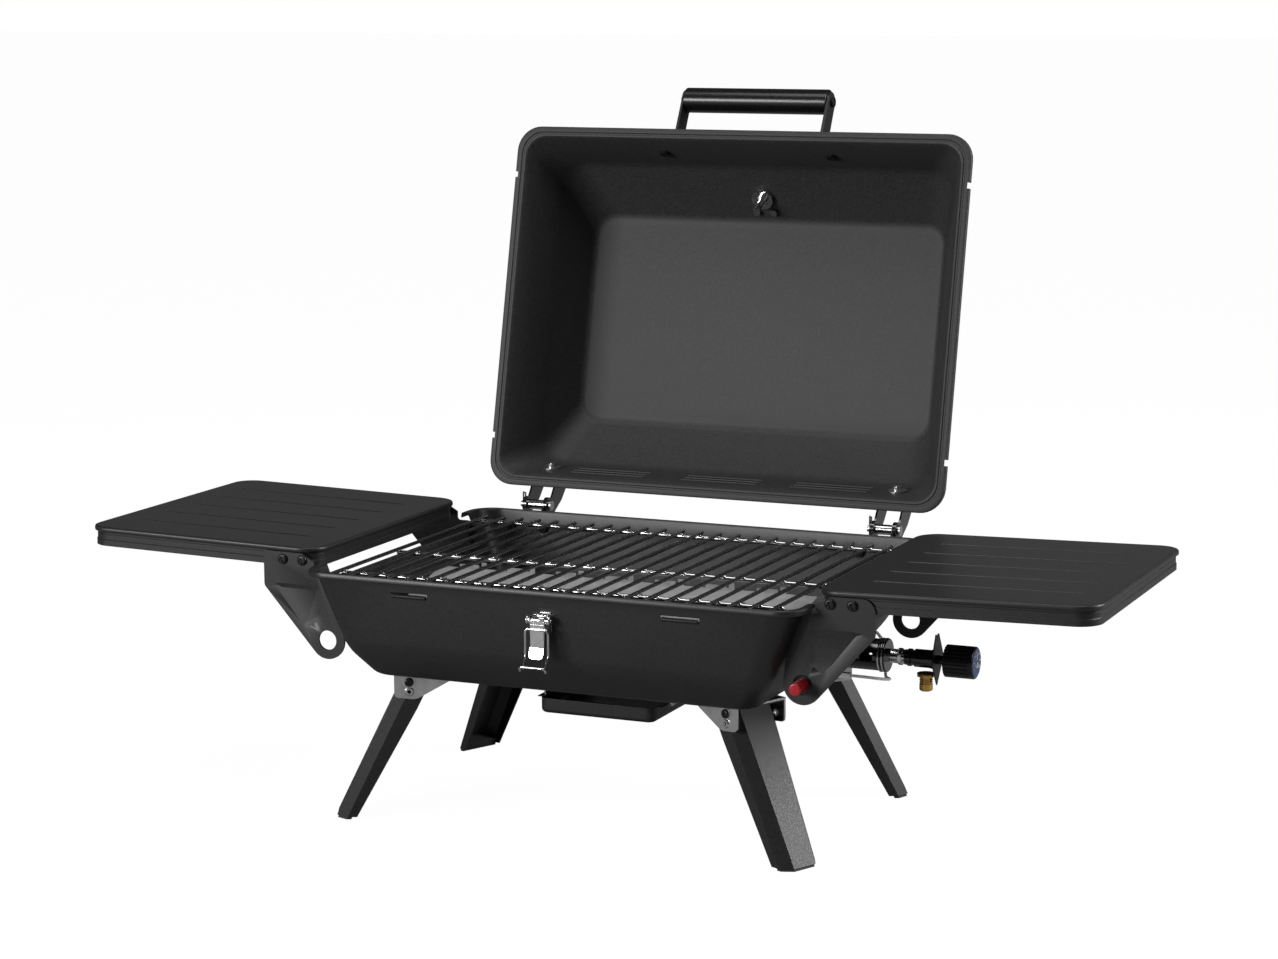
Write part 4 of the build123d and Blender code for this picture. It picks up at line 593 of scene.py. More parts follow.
def make_tub():
    """Pressed firebox tub with a turned rim, cut-down ends, lanced slots and a drain."""
    bm = bmesh.new()
    levels = [(*tub_level(z, TUB_WALL), z) for z in (FLOOR_Z + TUB_WALL, CREASE_Z)]
    levels += TUB_RIM_PROFILE
    levels += [(*tub_level(z), z) for z in (232.0, CREASE_Z, FLOOR_Z)]
    rings = ring_stack(bm, levels, steps=9)
    for ring, width in ((rings[0], 5.0), (rings[1], 9.0), (rings[-2], 10.0), (rings[-1], 6.0)):
        round_over(bm, ring, width)
    face_out(bm)
    cutters = bmesh.new()
    for side in (-1, 1):
        add_block(cutters, mirrored_span(side, *END_CUT_X), (-END_CUT_HALF, END_CUT_HALF), (END_CUT_Z, 240.0))
        for face in (-1, 1):
            add_block(cutters, mirrored_span(side, *SLOT_X), mirrored_span(face, 171.0, 185.0), SLOT_Z)
    add_bar(cutters, (0, 0, FLOOR_Z - 8), (0, 0, FLOOR_Z + 7), DRAIN_RADIUS, steps=32)
    tub = carved(bm, cutters)
    finish_piece(tub, "firebox_pressing", "firebox", "black_paint", ("firebox_tub",), softness=0.3)


def make_slot_lips():
    """Lower lips of the lanced slots: small ledges that lean out of the tub's walls."""
    bm = bmesh.new()
    for side in (-1, 1):
        for face in (-1, 1):
            y = face * (tub_level(SLOT_Z[0])[1] + 0.1)
            x_range = mirrored_span(side, SLOT_X[0] + 1.0, SLOT_X[1] - 1.0)
            lean = rotation(face * 50.0, "X")
            ledge = add_block(bm, x_range, (y - 1.7, y + 1.7), (SLOT_Z[0] - 1.9, SLOT_Z[0] + 1.1), lean)
            round_over(bm, edges_at(ledge), 0.6, 3)
    finish_piece(bm, "slot_lips", "firebox", "black_paint")


# ---- flame tamer ----
TAMER_HALF_LENGTH = 189.0
TAMER_HALF_DEPTH = 85.0
TAMER_RIDGE_Z = 211.0
TAMER_SLOPE = 0.22
TAMER_UNIT = 50.0
TAMER_UNITS = 7
TAMER_WALL = 1.2
# slanting openings in each unit: place along it, half width, reach to the front and back
TAMER_OPENINGS = ((-9.0, 2.4, 24.0), (9.0, 1.6, 20.0), (18.0, 4.2, 13.0))
OPENING_Y = 44.0
OPENING_SLANT = 38.0
# teeth of the ridge's fin in each unit: from, to, rise
RIDGE_TEETH = ((0.0, 20.0, 3.4), (23.0, 28.0, 6.0), (20.0, 23.0, 1.2))
# folded tabs on the front slope: place along each unit, half length
TAB_STEPS = (-14.0, 12.0)
TAB_HALF_LENGTH = 10.0
TAB_TURN = rotation(25, "X") @ rotation(18, "Z")


def make_tamer():
    """Sheet roof over the burner with slanting openings, and a toothed fin along its ridge."""
    bm = bmesh.new()
    drop = TAMER_SLOPE * TAMER_HALF_DEPTH
    for face in (-1, 1):
        verts = bmesh.ops.create_grid(bm, x_segments=1, y_segments=1, size=1.0)["verts"]
        bmesh.ops.scale(bm, vec=(TAMER_HALF_LENGTH, TAMER_HALF_DEPTH / 2, 1), verts=verts)
        lean = Matrix.Identity(4)
        lean[2][1] = -face * TAMER_SLOPE
        bmesh.ops.transform(bm, matrix=lean, verts=verts)
        bmesh.ops.translate(bm, vec=(0, face * TAMER_HALF_DEPTH / 2, TAMER_RIDGE_Z - drop / 2), verts=verts)
    bmesh.ops.remove_doubles(bm, verts=bm.verts, dist=0.01)
    face_out(bm)
    bmesh.ops.solidify(bm, geom=bm.faces[:], thickness=TAMER_WALL)
    cutters = bmesh.new()
    for index in range(TAMER_UNITS):
        x = (index - (TAMER_UNITS - 1) / 2) * TAMER_UNIT
        for face in (-1, 1):
            y = face * OPENING_Y
            turn = rotation(-face * OPENING_SLANT, "Z")
            for step, width, reach in TAMER_OPENINGS:
                add_block(cutters, (x + step - width, x + step + width), (y - reach, y + reach),
                          (TAMER_RIDGE_Z - 60, TAMER_RIDGE_Z + 20), turn)
    tamer = carved(bm, cutters)
    for index in range(TAMER_UNITS):
        x = (index - TAMER_UNITS / 2) * TAMER_UNIT + 6
        for low, high, rise in RIDGE_TEETH:
            add_block(tamer, (x + low, x + high), (-1.4, -0.4), (TAMER_RIDGE_Z - 2, TAMER_RIDGE_Z + rise))
        for step in TAB_STEPS:
            x_range = (x + step - TAB_HALF_LENGTH, x + step + TAB_HALF_LENGTH)
            add_block(tamer, x_range, (-50.5, -49.5), (TAMER_RIDGE_Z - 13, TAMER_RIDGE_Z - 7), TAB_TURN)
    finish_piece(tamer, "flame_tamer_sheet", "firebox", "aluminised", ("flame_tamer",))


make_lid()
make_lid_hoods()
make_tub()
make_slot_lips()
make_tamer()


# ---- side tables and their brackets ----
TABLE_PLACE = Matrix.Translation((240.0, -3.0, 248.8)) @ rotation(-1.15, "Y")
TABLE_LENGTH = 246.8
TABLE_HALF_DEPTH = 144.6
TABLE_CORNER = 22.0
# from the underside out, down the skirt, up its steps and round the rolled edge: inset, height
TABLE_PROFILE = [(3.2, -1.2), (3.2, -18.0), (2.0, -18.0), (2.0, -12.6), (2.6, -11.9), (2.6, -7.2),
                 (3.0, -6.7), (3.0, -5.4), (1.1, -4.95), (0.35, -4.5), (0.0, -3.7), (0.0, -2.0),
                 (0.2, -1.1), (0.75, -0.4), (1.6, -0.06), (3.2, 0.0)]
GROOVE_PITCH = 46.4
GROOVE_RUN = (31.8, 225.3)
GROOVE_RADIUS = 2.6
GROOVE_RISE = 1.7
MIRROR_X = Matrix.Scale(-1, 4, (1, 0, 0))
FLANGE_FRONT_Y = -147.6
FLANGE_REAR_Y = 141.6
RECESS_OUTLINE = [(236.5, 215.0), (285.5, 215.0), (252.5, 174.5), (236.0, 184.5)]
RECESS_CORNER = 4.5
RECESS_SLOPE = 4.0
RECESS_DEPTH = 1.1


def make_table(side_name, mirrored):
    """Sheet table with a stepped skirt, a rolled edge and five pressed grooves."""
    bm = bmesh.new()
    levels = [(TABLE_LENGTH / 2 - inset, TABLE_HALF_DEPTH - inset, TABLE_CORNER - inset, z)
              for inset, z in TABLE_PROFILE]
    ring_stack(bm, levels, steps=10)
    bmesh.ops.translate(bm, vec=(TABLE_LENGTH / 2, 0, 0), verts=bm.verts)
    face_out(bm)
    cutters = bmesh.new()
    for index in range(-2, 3):
        y = index * GROOVE_PITCH
        groove = add_bar(cutters, (GROOVE_RUN[0] + 3, y, GROOVE_RISE), (GROOVE_RUN[1] - 3, y, GROOVE_RISE),
                         GROOVE_RADIUS, 28)
        round_over(cutters, end_edges(groove, 0), 1.6, 3)
    bm = carved(bm, cutters)
    place = MIRROR_X @ TABLE_PLACE if mirrored else TABLE_PLACE
    bmesh.ops.transform(bm, matrix=place, verts=bm.verts)
    if mirrored:
        bmesh.ops.reverse_faces(bm, faces=bm.faces)
    finish_piece(bm, side_name + "_table_pressing", "firebox", "black_paint", (side_name + "_side_table",))


def add_recess(cutters, face_y, inward, mirrored):
    """Cutter for the dished panel in a bracket's flange, with wide sloping sides."""
    sign = -1 if mirrored else 1
    rim = [cutters.verts.new((sign * x, face_y - inward, z)) for x, z in RECESS_OUTLINE]
    cutters.faces.new(rim)
    round_over(cutters, rim, RECESS_CORNER, 4, affect="VERTICES")
    floor = pull(cutters, cutters.faces[:], (0, inward, 0))
    bmesh.ops.inset_region(cutters, faces=floor, thickness=RECESS_SLOPE)
    sunk = list({vert for face in floor for vert in face.verts})
    bmesh.ops.translate(cutters, vec=(0, inward * RECESS_DEPTH, 0), verts=sunk)
    face_out(cutters)


def make_bracket(side_name, mirrored):
    """Side bracket whose front flange carries a dished panel under the table's screws."""
    node = side_name + "_table_bracket"
    cutters = bmesh.new()
    add_recess(cutters, FLANGE_FRONT_Y, 1, mirrored)
    finish_piece(carved(node_copy(node), cutters), side_name + "_bracket_pressing", "firebox", "black_paint",
                 (node,))


make_table("right", False)
make_table("left", True)
make_bracket("right", False)
make_bracket("left", True)


# ---- screws, bolts and the leg brackets ----
SCREW_HEAD = (4.75, 2.6)
SCREWS_X = (254.8, 274.8)
SCREWS_Z = 237.7


def pan_screw(heads, recesses, seat, way, radius, height, shank=0.0):
    """Domed head with a cross recess on a seat, and its shank below; way points out of the head."""
    seat, way = Vector(seat), Vector(way).normalized()
    top = add_bar(heads, seat, seat + way * height, radius, 28)
    crown = [edge for edge in edges_at(top)
             if all((vert.co - seat).dot(way) > height * 0.9 for vert in edge.verts)]
    round_over(heads, crown, height * 0.72, 4)
    if shank:
        add_bar(heads, seat - way * shank, seat, radius * 0.52, 16)
    arm, wing, depth = radius * 0.575, radius * 0.13, height * 0.9
    turn = way.to_track_quat("Z", "Y").to_matrix().to_4x4()
    place = Matrix.Translation(seat + way * height * 0.95) @ turn @ rotation(20, "Z")
    outline = [place @ rotation(90 * quarter, "Z") @ Vector((x, y, -depth / 2))
               for quarter in range(4) for x, y in ((arm, -wing), (arm, wing), (wing, wing))]
    floor = recesses.faces.new([recesses.verts.new(corner) for corner in outline])
    pull(recesses, [floor], place.to_3x3() @ Vector((0, 0, depth)))
    face_out(recesses)


def hex_nut(bm, seat, way, radius, height):
    """Hexagon nut with broken corners on a seat."""
    seat, way = Vector(seat), Vector(way).normalized()
    made = add_bar(bm, seat, seat + way * height, radius * 1.08, 6)
    round_over(bm, edges_at(made), 0.35, 2)


def make_table_screws():
    """Screws through the bracket flanges into both tables."""
    heads, recesses = bmesh.new(), bmesh.new()
    for side in (-1, 1):
        for x in SCREWS_X:
            for y, out in ((FLANGE_FRONT_Y, -1), (FLANGE_REAR_Y, 1)):
                pan_screw(heads, recesses, (side * x, y, SCREWS_Z), (0, out, 0), *SCREW_HEAD, shank=5.5)
    screws = carved(heads, recesses, crossing=True)
    finish_piece(screws, "table_cross_screws", "firebox", "black_screw", ("table_screws",))


# legs: frame of a bracket at its pivot, X outwards in plan, Z up
LEG_PIVOT = (167.0, 107.0, 121.5)
LEG_HEADING = 25.0
EAR_INNER = 27.4
EAR_SHEET = 2.0
EAR_CORNER = 3.5
EARS_BELOW_Z = 134.0
STOP_SCREW_Z = 8.8
STOP_SCREW_HEAD = (4.2, 2.0)
COLLAR_SHEET = 0.6


def leg_bracket_place(side, end):
    """Place of a leg bracket: its X axis points outwards in plan."""
    heading = math.radians(LEG_HEADING)
    outward = Vector((side * math.cos(heading), end * math.sin(heading), 0))
    across = Vector((0, 0, 1)).cross(outward)
    turn = Matrix((outward, across, Vector((0, 0, 1)))).transposed().to_4x4()
    return Matrix.Translation((side * LEG_PIVOT[0], end * LEG_PIVOT[1], LEG_PIVOT[2])) @ turn


def make_leg_brackets():
    """Zinc brackets with rounded ears."""
    bm = node_copy("leg_brackets")
    corners = [edge for edge in bm.edges
               if len(edge.link_faces) == 2 and abs(edge.calc_length() - EAR_SHEET) < 0.05
               and edge.calc_face_angle(0) > 0.3 and all(vert.co.z < EARS_BELOW_Z for vert in edge.verts)]
    round_over(bm, corners, EAR_CORNER, 5)
    finish_piece(bm, "leg_bracket_pressings", "firebox", "zinc", ("leg_brackets",), softness=0.3)


def make_leg_rivets():
    """Hollow rivets that the legs turn on, and the cross screws over them with their bright collars."""
    heads, recesses, rivets, bores = bmesh.new(), bmesh.new(), bmesh.new(), bmesh.new()
    reach = EAR_INNER + EAR_SHEET
    for side in (-1, 1):
        for end in (-1, 1):
            place = leg_bracket_place(side, end)
            across = place.to_3x3() @ Vector((0, 1, 0))

            def at(y, z=0.0):
                """Point of this bracket, y along its pivot and z over it."""
                return place @ Vector((0, y, z))

            add_bar(rivets, at(-reach - 0.9), at(reach + 0.9), 2.95, 24)
            for face in (-1, 1):
                y = face * reach
                add_bar(rivets, at(y), at(y + face * 1.5), 4.3, 28, 3.4)
                add_bar(bores, at(y - face), at(y + face * 3), 1.7, 20)
                collar_top = at(y + face * COLLAR_SHEET, STOP_SCREW_Z)
                add_bar(rivets, at(y, STOP_SCREW_Z), collar_top, 5.6, 32)
                pan_screw(heads, recesses, collar_top, across * face, *STOP_SCREW_HEAD)
    finish_piece(carved(rivets, bores), "leg_hollow_rivets", "firebox", "zinc", ("leg_pivot_bolts",))
    finish_piece(carved(heads, recesses), "leg_stop_screws", "firebox", "black_screw")


make_table_screws()
make_leg_brackets()
make_leg_rivets()


# ---- cooking grate ----
GRATE_RODS = 23
GRATE_PITCH = 19.15
GRATE_ROD_RADIUS = 1.75
GRATE_BAR_RADIUS = 2.1
GRATE_TOP_Z = 235.0
GRATE_FRONT_Y = -174.5
GRATE_REAR_Y = 142.0
GRATE_BARS_Y = (-147.0, -41.3, 134.4)
GRATE_BAR_HALF = 214.0


def make_grate():
    """Rods with drawn-in ends, and plated cross bars welded under them."""
    rods = bmesh.new()
    z = GRATE_TOP_Z - GRATE_ROD_RADIUS
    rod_places = [(index - (GRATE_RODS - 1) / 2) * GRATE_PITCH for index in range(GRATE_RODS)]
    for x in rod_places:
        rod = add_bar(rods, (x, GRATE_FRONT_Y, z), (x, GRATE_REAR_Y, z), GRATE_ROD_RADIUS, 14)
        round_over(rods, end_edges(rod, 1), 1.1, 3)
    # the rods take the painted dark reflection in place of their plating
    finish_piece(rods, "grate_rods", "cooking_grate", "chrome_wire", ("cooking_grate",), finish=GRATE_PAINTED_DARK_REFLECTION)
    bars = bmesh.new()
    low = GRATE_TOP_Z - 2 * GRATE_ROD_RADIUS - GRATE_BAR_RADIUS + 0.25
    for y in GRATE_BARS_Y:
        bar = add_bar(bars, (-GRATE_BAR_HALF, y, low), (GRATE_BAR_HALF, y, low), GRATE_BAR_RADIUS, 16)
        round_over(bars, end_edges(bar, 0), 1.1, 3)
        for x in rod_places:
            bead = bmesh.ops.create_uvsphere(bars, u_segments=10, v_segments=6, radius=1.3)["verts"]
            bmesh.ops.scale(bars, vec=(1.5, 1.5, 0.7), verts=bead)
            bmesh.ops.translate(bars, vec=(x, y, low + GRATE_BAR_RADIUS - 0.3), verts=bead)
    finish_piece(bars, "grate_cross_bars", "cooking_grate", "chrome_wire")


make_grate()


# ---- front latch ----
LATCH_PIVOT = (-184.245, 210.0)
LEVER_HALF = 7.2
LEVER_SHEET = 1.3
LEVER_DROP = 25.0
BARREL_HALF = 5.8
BARREL_RADIUS = 3.6
# thumb tab: half width, drops of its top and end below the pivot, round of its corners
TAB_HALF = 7.0
TAB_DROPS = (23.6, 34.0)
TAB_CORNER = 4.2
BASE_HALF = 9.0
BASE_LEAN = 7.3
LUG_X = (7.7, 9.3)
COLLAR_X = (9.4, 11.4)
BAIL_PIVOT_Z = 202.5
BAIL_Y = -188.645
BAIL_WIRE_RADIUS = 1.2
TAB_ANGLE = -20.0
# shield pressed on the lever, from the barrel down to its point: across, below the pivot
SHIELD = [(-6.6, -3.0), (6.6, -3.0), (6.0, -15.5), (-1.4, -21.0), (-4.9, -12.5)]


def add_mesh(bm, other):
    """Add another bmesh to this one."""
    mesh = bpy.data.meshes.new("part")
    other.to_mesh(mesh)
    other.free()
    bm.from_mesh(mesh)
    bpy.data.meshes.remove(mesh)


def add_wire(bm, points, radius):
    """Add round wire along a smooth line that passes near its points, in millimetres."""
    wire = new_wire("wire", points, radius, 5, 8)
    curve = wire.data
    mesh = bpy.data.meshes.new_from_object(wire)
    strand = bmesh.new()
    strand.from_mesh(mesh)
    bpy.data.objects.remove(wire)
    bpy.data.curves.remove(curve)
    bpy.data.meshes.remove(mesh)
    bmesh.ops.remove_doubles(strand, verts=strand.verts, dist=1e-3)
    add_mesh(bm, strand)


def make_lever():
    """Lever: rolled barrel, tapered plate with a pointed shield, and a turned-out thumb tab."""
    y, z = LATCH_PIVOT
    front = y - BARREL_RADIUS
    bm = bmesh.new()
    barrel = add_bar(bm, (-BARREL_HALF, y, z), (BARREL_HALF, y, z), BARREL_RADIUS, 32)
    round_over(bm, end_edges(barrel, 0), 0.5, 3)
    plate = add_block(bm, (-LEVER_HALF, LEVER_HALF), (front, front + LEVER_SHEET), (z - LEVER_DROP, z))
    low = [vert for vert in plate if vert.co.z < z - 20]
    bmesh.ops.scale(bm, vec=(0.9, 1, 1), verts=low)
    top, end = TAB_DROPS
    tab = add_block(bm, (-TAB_HALF, TAB_HALF), (front - 0.9, front + 0.5), (z - end, z - top))
    corners = [edge for edge in end_edges(tab, 0) if all(vert.co.z < z - end + 1 for vert in edge.verts)]
    round_over(bm, corners, TAB_CORNER, 6)
    tab = [vert for vert in bm.verts
           if vert.co.z < z - top + 0.1 and vert.co.y < front + 0.55 and vert not in low]
    hinge = Matrix.Translation((0, front, z - top - 0.2))
    turn = rotation(TAB_ANGLE, "X")
    bmesh.ops.transform(bm, matrix=hinge @ turn @ hinge.inverted(), verts=tab)
    shield = [bm.verts.new((x, front - 0.45, z + drop)) for x, drop in SHIELD]
    pull(bm, [bm.faces.new(shield)], (0, 0.5, 0))
    face_out(bm)
    add_bar(bm, (-10.2, BAIL_Y, BAIL_PIVOT_Z), (10.2, BAIL_Y, BAIL_PIVOT_Z), 1.0, 16)
    finish_piece(bm, "latch_lever_pressing", "latch_lever", "bright_steel", ("latch_lever",), softness=0.25)


def make_bail():
    """Wire loop on the lever, with a hooked cross bar whose ends curl down."""
    bm = bmesh.new()
    y, z = BAIL_Y, BAIL_PIVOT_Z
    for side in (-1, 1):
        route = [(side * 7.8, y, z + 0.4), (side * 9.4, y, z + 0.3), (side * 11.0, y - 0.2, z - 2.0),
                 (side * 11.0, y, z - 6.0), (side * 11.0, y, z - 20.0), (side * 11.0, y, z - 24.0),
                 (side * 10.6, y - 3.0, z - 28.0), (side * 10.4, y - 7.4, z - 34.0)]
        add_wire(bm, route, BAIL_WIRE_RADIUS)
        curl = [(0, y - 10.3, z - 31.6), (side * 8.0, y - 10.3, z - 31.6), (side * 10.6, y - 10.3, z - 31.6),
                (side * 12.6, y - 9.6, z - 33.0), (side * 12.2, y - 8.2, z - 35.4)]
        add_wire(bm, curl, BAIL_WIRE_RADIUS)
    finish_piece(bm, "latch_bail_wire", "latch_bail", "chrome_wire", ("latch_bail",))


def make_latch_base():
    """Base plate with two curled lugs, the pin through them, and its knurled ends."""
    y, z = LATCH_PIVOT
    bm = bmesh.new()
    lean = rotation(BASE_LEAN, "X")
    wall = -tub_level(z - 2)[1]
    plate = add_block(bm, (-BASE_HALF, BASE_HALF), (wall - 1.6, wall - 0.1), (z - 13.0, z + 4.0), lean)
    corners = [edge for edge in end_edges(plate, 0) if abs(edge.verts[0].co.z - edge.verts[1].co.z) < 0.6]
    round_over(bm, corners, 2.5, 5)
    for side in (-1, 1):
        x_range = mirrored_span(side, *LUG_X)
        add_block(bm, x_range, (y, wall), (z - 3.4, z + 3.4))
        add_bar(bm, (x_range[0], y, z), (x_range[1], y, z), 3.5, 28)
        collar = add_bar(bm, (side * COLLAR_X[0], y, z), (side * COLLAR_X[1], y, z), 3.9, 20)
        round_over(bm, end_edges(collar, 0), 0.7, 2)
        add_bar(bm, (side * 11.3, y, z), (side * 12.4, y, z), 1.5, 16)
    add_bar(bm, (-11.0, y, z), (11.0, y, z), 1.4, 16)
    add_block(bm, (-1.0, 9.0), (wall - 2.6, wall - 0.4), (z + 5.2, z + 6.6), lean)
    finish_piece(bm, "latch_base_pressing", "firebox", "bright_steel", ("latch_base",), softness=0.2)


make_lever()
make_bail()
make_latch_base()


# ---- gas train ----
GAS_Z = 163.0
ELBOW_X = 292.0
KNOB_FACE_X = 338.0
NIPPLE_Z = 150.0
STEM_BORE = 4.3
# rings round the venturi: place along x, radius, thickness
VENTURI_BEADS = ((251.0, 14.6, 0.9), (254.6, 15.0, 0.6))
# marks on the knob's face: how far the dots stand from its middle
DIAL_RADIUS = 9.2
# profiles turned about the valve's axis: place along x, radius
COUPLING_PROFILE = [(257.0, 6.2), (259.0, 6.2), (259.4, 5.4), (260.0, 5.4), (260.4, 6.5), (260.9, 6.5),
                    (261.3, 5.7), (261.8, 5.7), (262.2, 6.5), (262.7, 6.5), (263.1, 5.7), (263.6, 5.7),
                    (264.0, 6.5), (264.5, 6.5), (264.9, 5.7), (265.6, 5.7), (265.9, 6.6), (273.0, 6.6)]
VALVE_PROFILE = [(273.0, 7.0), (275.0, 7.0), (275.6, 7.9), (278.6, 7.9), (279.2, 6.8), (281.4, 6.8),
                 (282.0, 8.1), (296.4, 8.1), (297.0, 8.5), (299.6, 8.5), (300.0, 6.6), (301.0, 6.6)]
NIPPLE_PROFILE = [(0.0, 8.2), (0.6, 8.3), (2.0, 6.4), (3.8, 6.1), (4.3, 5.2), (4.9, 5.2), (5.4, 6.0),
                  (5.9, 6.0), (6.4, 5.3), (6.9, 5.3), (7.4, 6.0), (7.9, 6.0), (8.4, 5.3), (8.9, 5.3),
                  (9.4, 6.0), (14.6, 6.0), (15.6, 5.2), (16.0, 4.2)]


def turned(bm, profile, place, steps=36):
    """Solid turned about its X axis from a profile of (along, radius), put in its place."""
    line = [(profile[0][0], 0.0), *profile, (profile[-1][0], 0.0)]
    part = bmesh.new()
    verts = [part.verts.new((along, radius, 0)) for along, radius in line]
    edges = [part.edges.new(pair) for pair in zip(verts, verts[1:])]
    bmesh.ops.spin(part, geom=verts + edges, cent=(0, 0, 0), axis=(1, 0, 0), angle=2 * math.pi, steps=steps,
                   use_merge=True)
    bmesh.ops.remove_doubles(part, verts=part.verts, dist=1e-3)
    face_out(part)
    bmesh.ops.transform(part, matrix=place, verts=part.verts)
    add_mesh(bm, part)


def make_gas_train():
    """Coupling, valve with its elbow, and the inlet's flare and thread."""
    axis = Matrix.Translation((0, 0, GAS_Z))
    coupling = bmesh.new()
    turned(coupling, COUPLING_PROFILE, axis)
    hex_nut(coupling, (266.4, 0, GAS_Z), (1, 0, 0), 7.4, 4.0)
    face_out(coupling)
    finish_piece(coupling, "gas_coupling_thread", "firebox", "bright_steel", ("gas_coupling",))
    valve = bmesh.new()
    turned(valve, VALVE_PROFILE, axis)
    for turn in (60, 180, 300):
        flat = add_block(valve, (283.5, 295.5), (-3.2, 3.2), (6.6, 8.4))
        bmesh.ops.transform(valve, matrix=axis @ rotation(turn, "X"), verts=flat)
    elbow = add_bar(valve, (ELBOW_X, 0, GAS_Z), (ELBOW_X, 0, 150.2), 7.2, 32)
    mouth = [edge for edge in edges_at(elbow) if all(vert.co.z < NIPPLE_Z + 1 for vert in edge.verts)]
    round_over(valve, mouth, 0.8, 3)
    add_bar(valve, (ELBOW_X, 0, 154.0), (ELBOW_X, 0, 152.4), 7.6, 32)
    face_out(valve)
    bores = bmesh.new()
    add_bar(bores, (295.0, 0, GAS_Z), (302.0, 0, GAS_Z), STEM_BORE, 28)
    finish_piece(carved(valve, bores), "gas_valve_casting", "firebox", "gloss_black", ("valve_body",))
    nipple = bmesh.new()
    down = Matrix.Translation((ELBOW_X, 0, NIPPLE_Z)) @ rotation(90, "Y")
    turned(nipple, NIPPLE_PROFILE, down)
    hex_nut(nipple, (ELBOW_X, 0, NIPPLE_Z), (0, 0, -1), 7.6, 3.2)
    face_out(nipple)
    finish_piece(nipple, "gas_inlet_thread", "firebox", "brass", ("gas_inlet_nipple",))


def make_venturi_rings():
    """Rolled bright ring at the venturi's end and the bead beside it."""
    rings = bmesh.new()
    for x, radius, wire in VENTURI_BEADS:
        bead = bmesh.ops.create_circle(rings, cap_ends=False, segments=10, radius=wire)["verts"]
        edges = edges_at(bead)
        bmesh.ops.transform(rings, matrix=Matrix.Translation((x, radius, 0)), verts=bead)
        bmesh.ops.spin(rings, geom=bead + edges, cent=(0, 0, 0), axis=(1, 0, 0), angle=2 * math.pi, steps=48,
                       use_merge=True)
    bmesh.ops.translate(rings, vec=(0, 0, GAS_Z), verts=rings.verts)
    bmesh.ops.remove_doubles(rings, verts=rings.verts, dist=1e-3)
    face_out(rings)
    finish_piece(rings, "venturi_rings", "firebox", "bright_steel")


def make_knob_marks():
    """Plain white pointer, an arc of growing dots, and a low and a high mark on the knob's face."""
    marks = bmesh.new()
    x_range = (KNOB_FACE_X + 0.3, KNOB_FACE_X + 0.7)
    add_block(marks, x_range, (-0.9, 0.9), (GAS_Z + 3.0, GAS_Z + 10.5))
    for index in (0, 1, 2, 4, 5, 6):
        angle = math.radians(-120 + 40 * index)
        y = DIAL_RADIUS * math.sin(angle)
        z = GAS_Z + DIAL_RADIUS * math.cos(angle)
        add_bar(marks, (x_range[0], y, z), (x_range[1], y, z), 0.7 + 0.16 * index, 14)
    add_block(marks, x_range, (-3.6, -1.6), (GAS_Z - 3.6, GAS_Z - 0.6))
    add_block(marks, x_range, (1.2, 4.2), (GAS_Z - 4.8, GAS_Z + 0.2))
    finish_piece(marks, "knob_marks", "control_knob", "blue_plastic", finish=KNOB_MARK)


make_gas_train()
make_venturi_rings()
make_knob_marks()


# ---- igniter, valve plate, thermometer nut and grip ----
IGNITER_AT = (230.2, 165.5)
HOUSING_RADIUS = 8.8
HOUSING_REAR_Y = -84.0
THREAD_RADIUS = 9.2
THREAD_PITCH = 1.6
# turns of the thread that stand behind the button's bore
THREAD_TURNS = (6, 7, 8)
BUTTON_RADIUS = 5.55
BUTTON_AIR = 0.2
BUTTON_REACH = 19.5
VALVE_PLATE_X = 301.0
VALVE_PLATE_SHEET = 1.2
PLATE_SCREWS_Y = (-10.5, 10.5)
# how far the plate's sides bend towards the knob, for each square millimetre from its middle
PLATE_BEND = 0.0022


def make_igniter():
    """Black barrel with a bore and the turns of its thread behind that, and the red button in the bore."""
    x, z = IGNITER_AT
    face = FLANGE_FRONT_Y
    housing, bore = bmesh.new(), bmesh.new()
    add_bar(housing, (x, face + 2.2, z), (x, HOUSING_REAR_Y, z), HOUSING_RADIUS, 36)
    add_bar(bore, (x, face - 7, z), (x, face + 18, z), BUTTON_RADIUS + BUTTON_AIR, 32)
    barrel = carved(housing, bore)
    for step in THREAD_TURNS:
        y = face + 9 + step * THREAD_PITCH
        add_bar(barrel, (x, y, z), (x, y + THREAD_PITCH / 2, z), THREAD_RADIUS, 36)
    finish_piece(barrel, "igniter_bezel", "firebox", "black_plastic", ("igniter_body",))
    button = bmesh.new()
    stem = add_bar(button, (x, face - BUTTON_REACH, z), (x, face + 9.8, z), BUTTON_RADIUS, 40)
    round_over(button, [edge for edge in end_edges(stem, 1) if edge.verts[0].co.y < face], 1.4, 5)
    for y in (face - 16.4, face - 9.5):
        add_bar(button, (x, y, z), (x, y + 0.7, z), BUTTON_RADIUS + 0.05, 40)
    finish_piece(button, "igniter_push", "igniter_button", "red_plastic", ("igniter_button",))


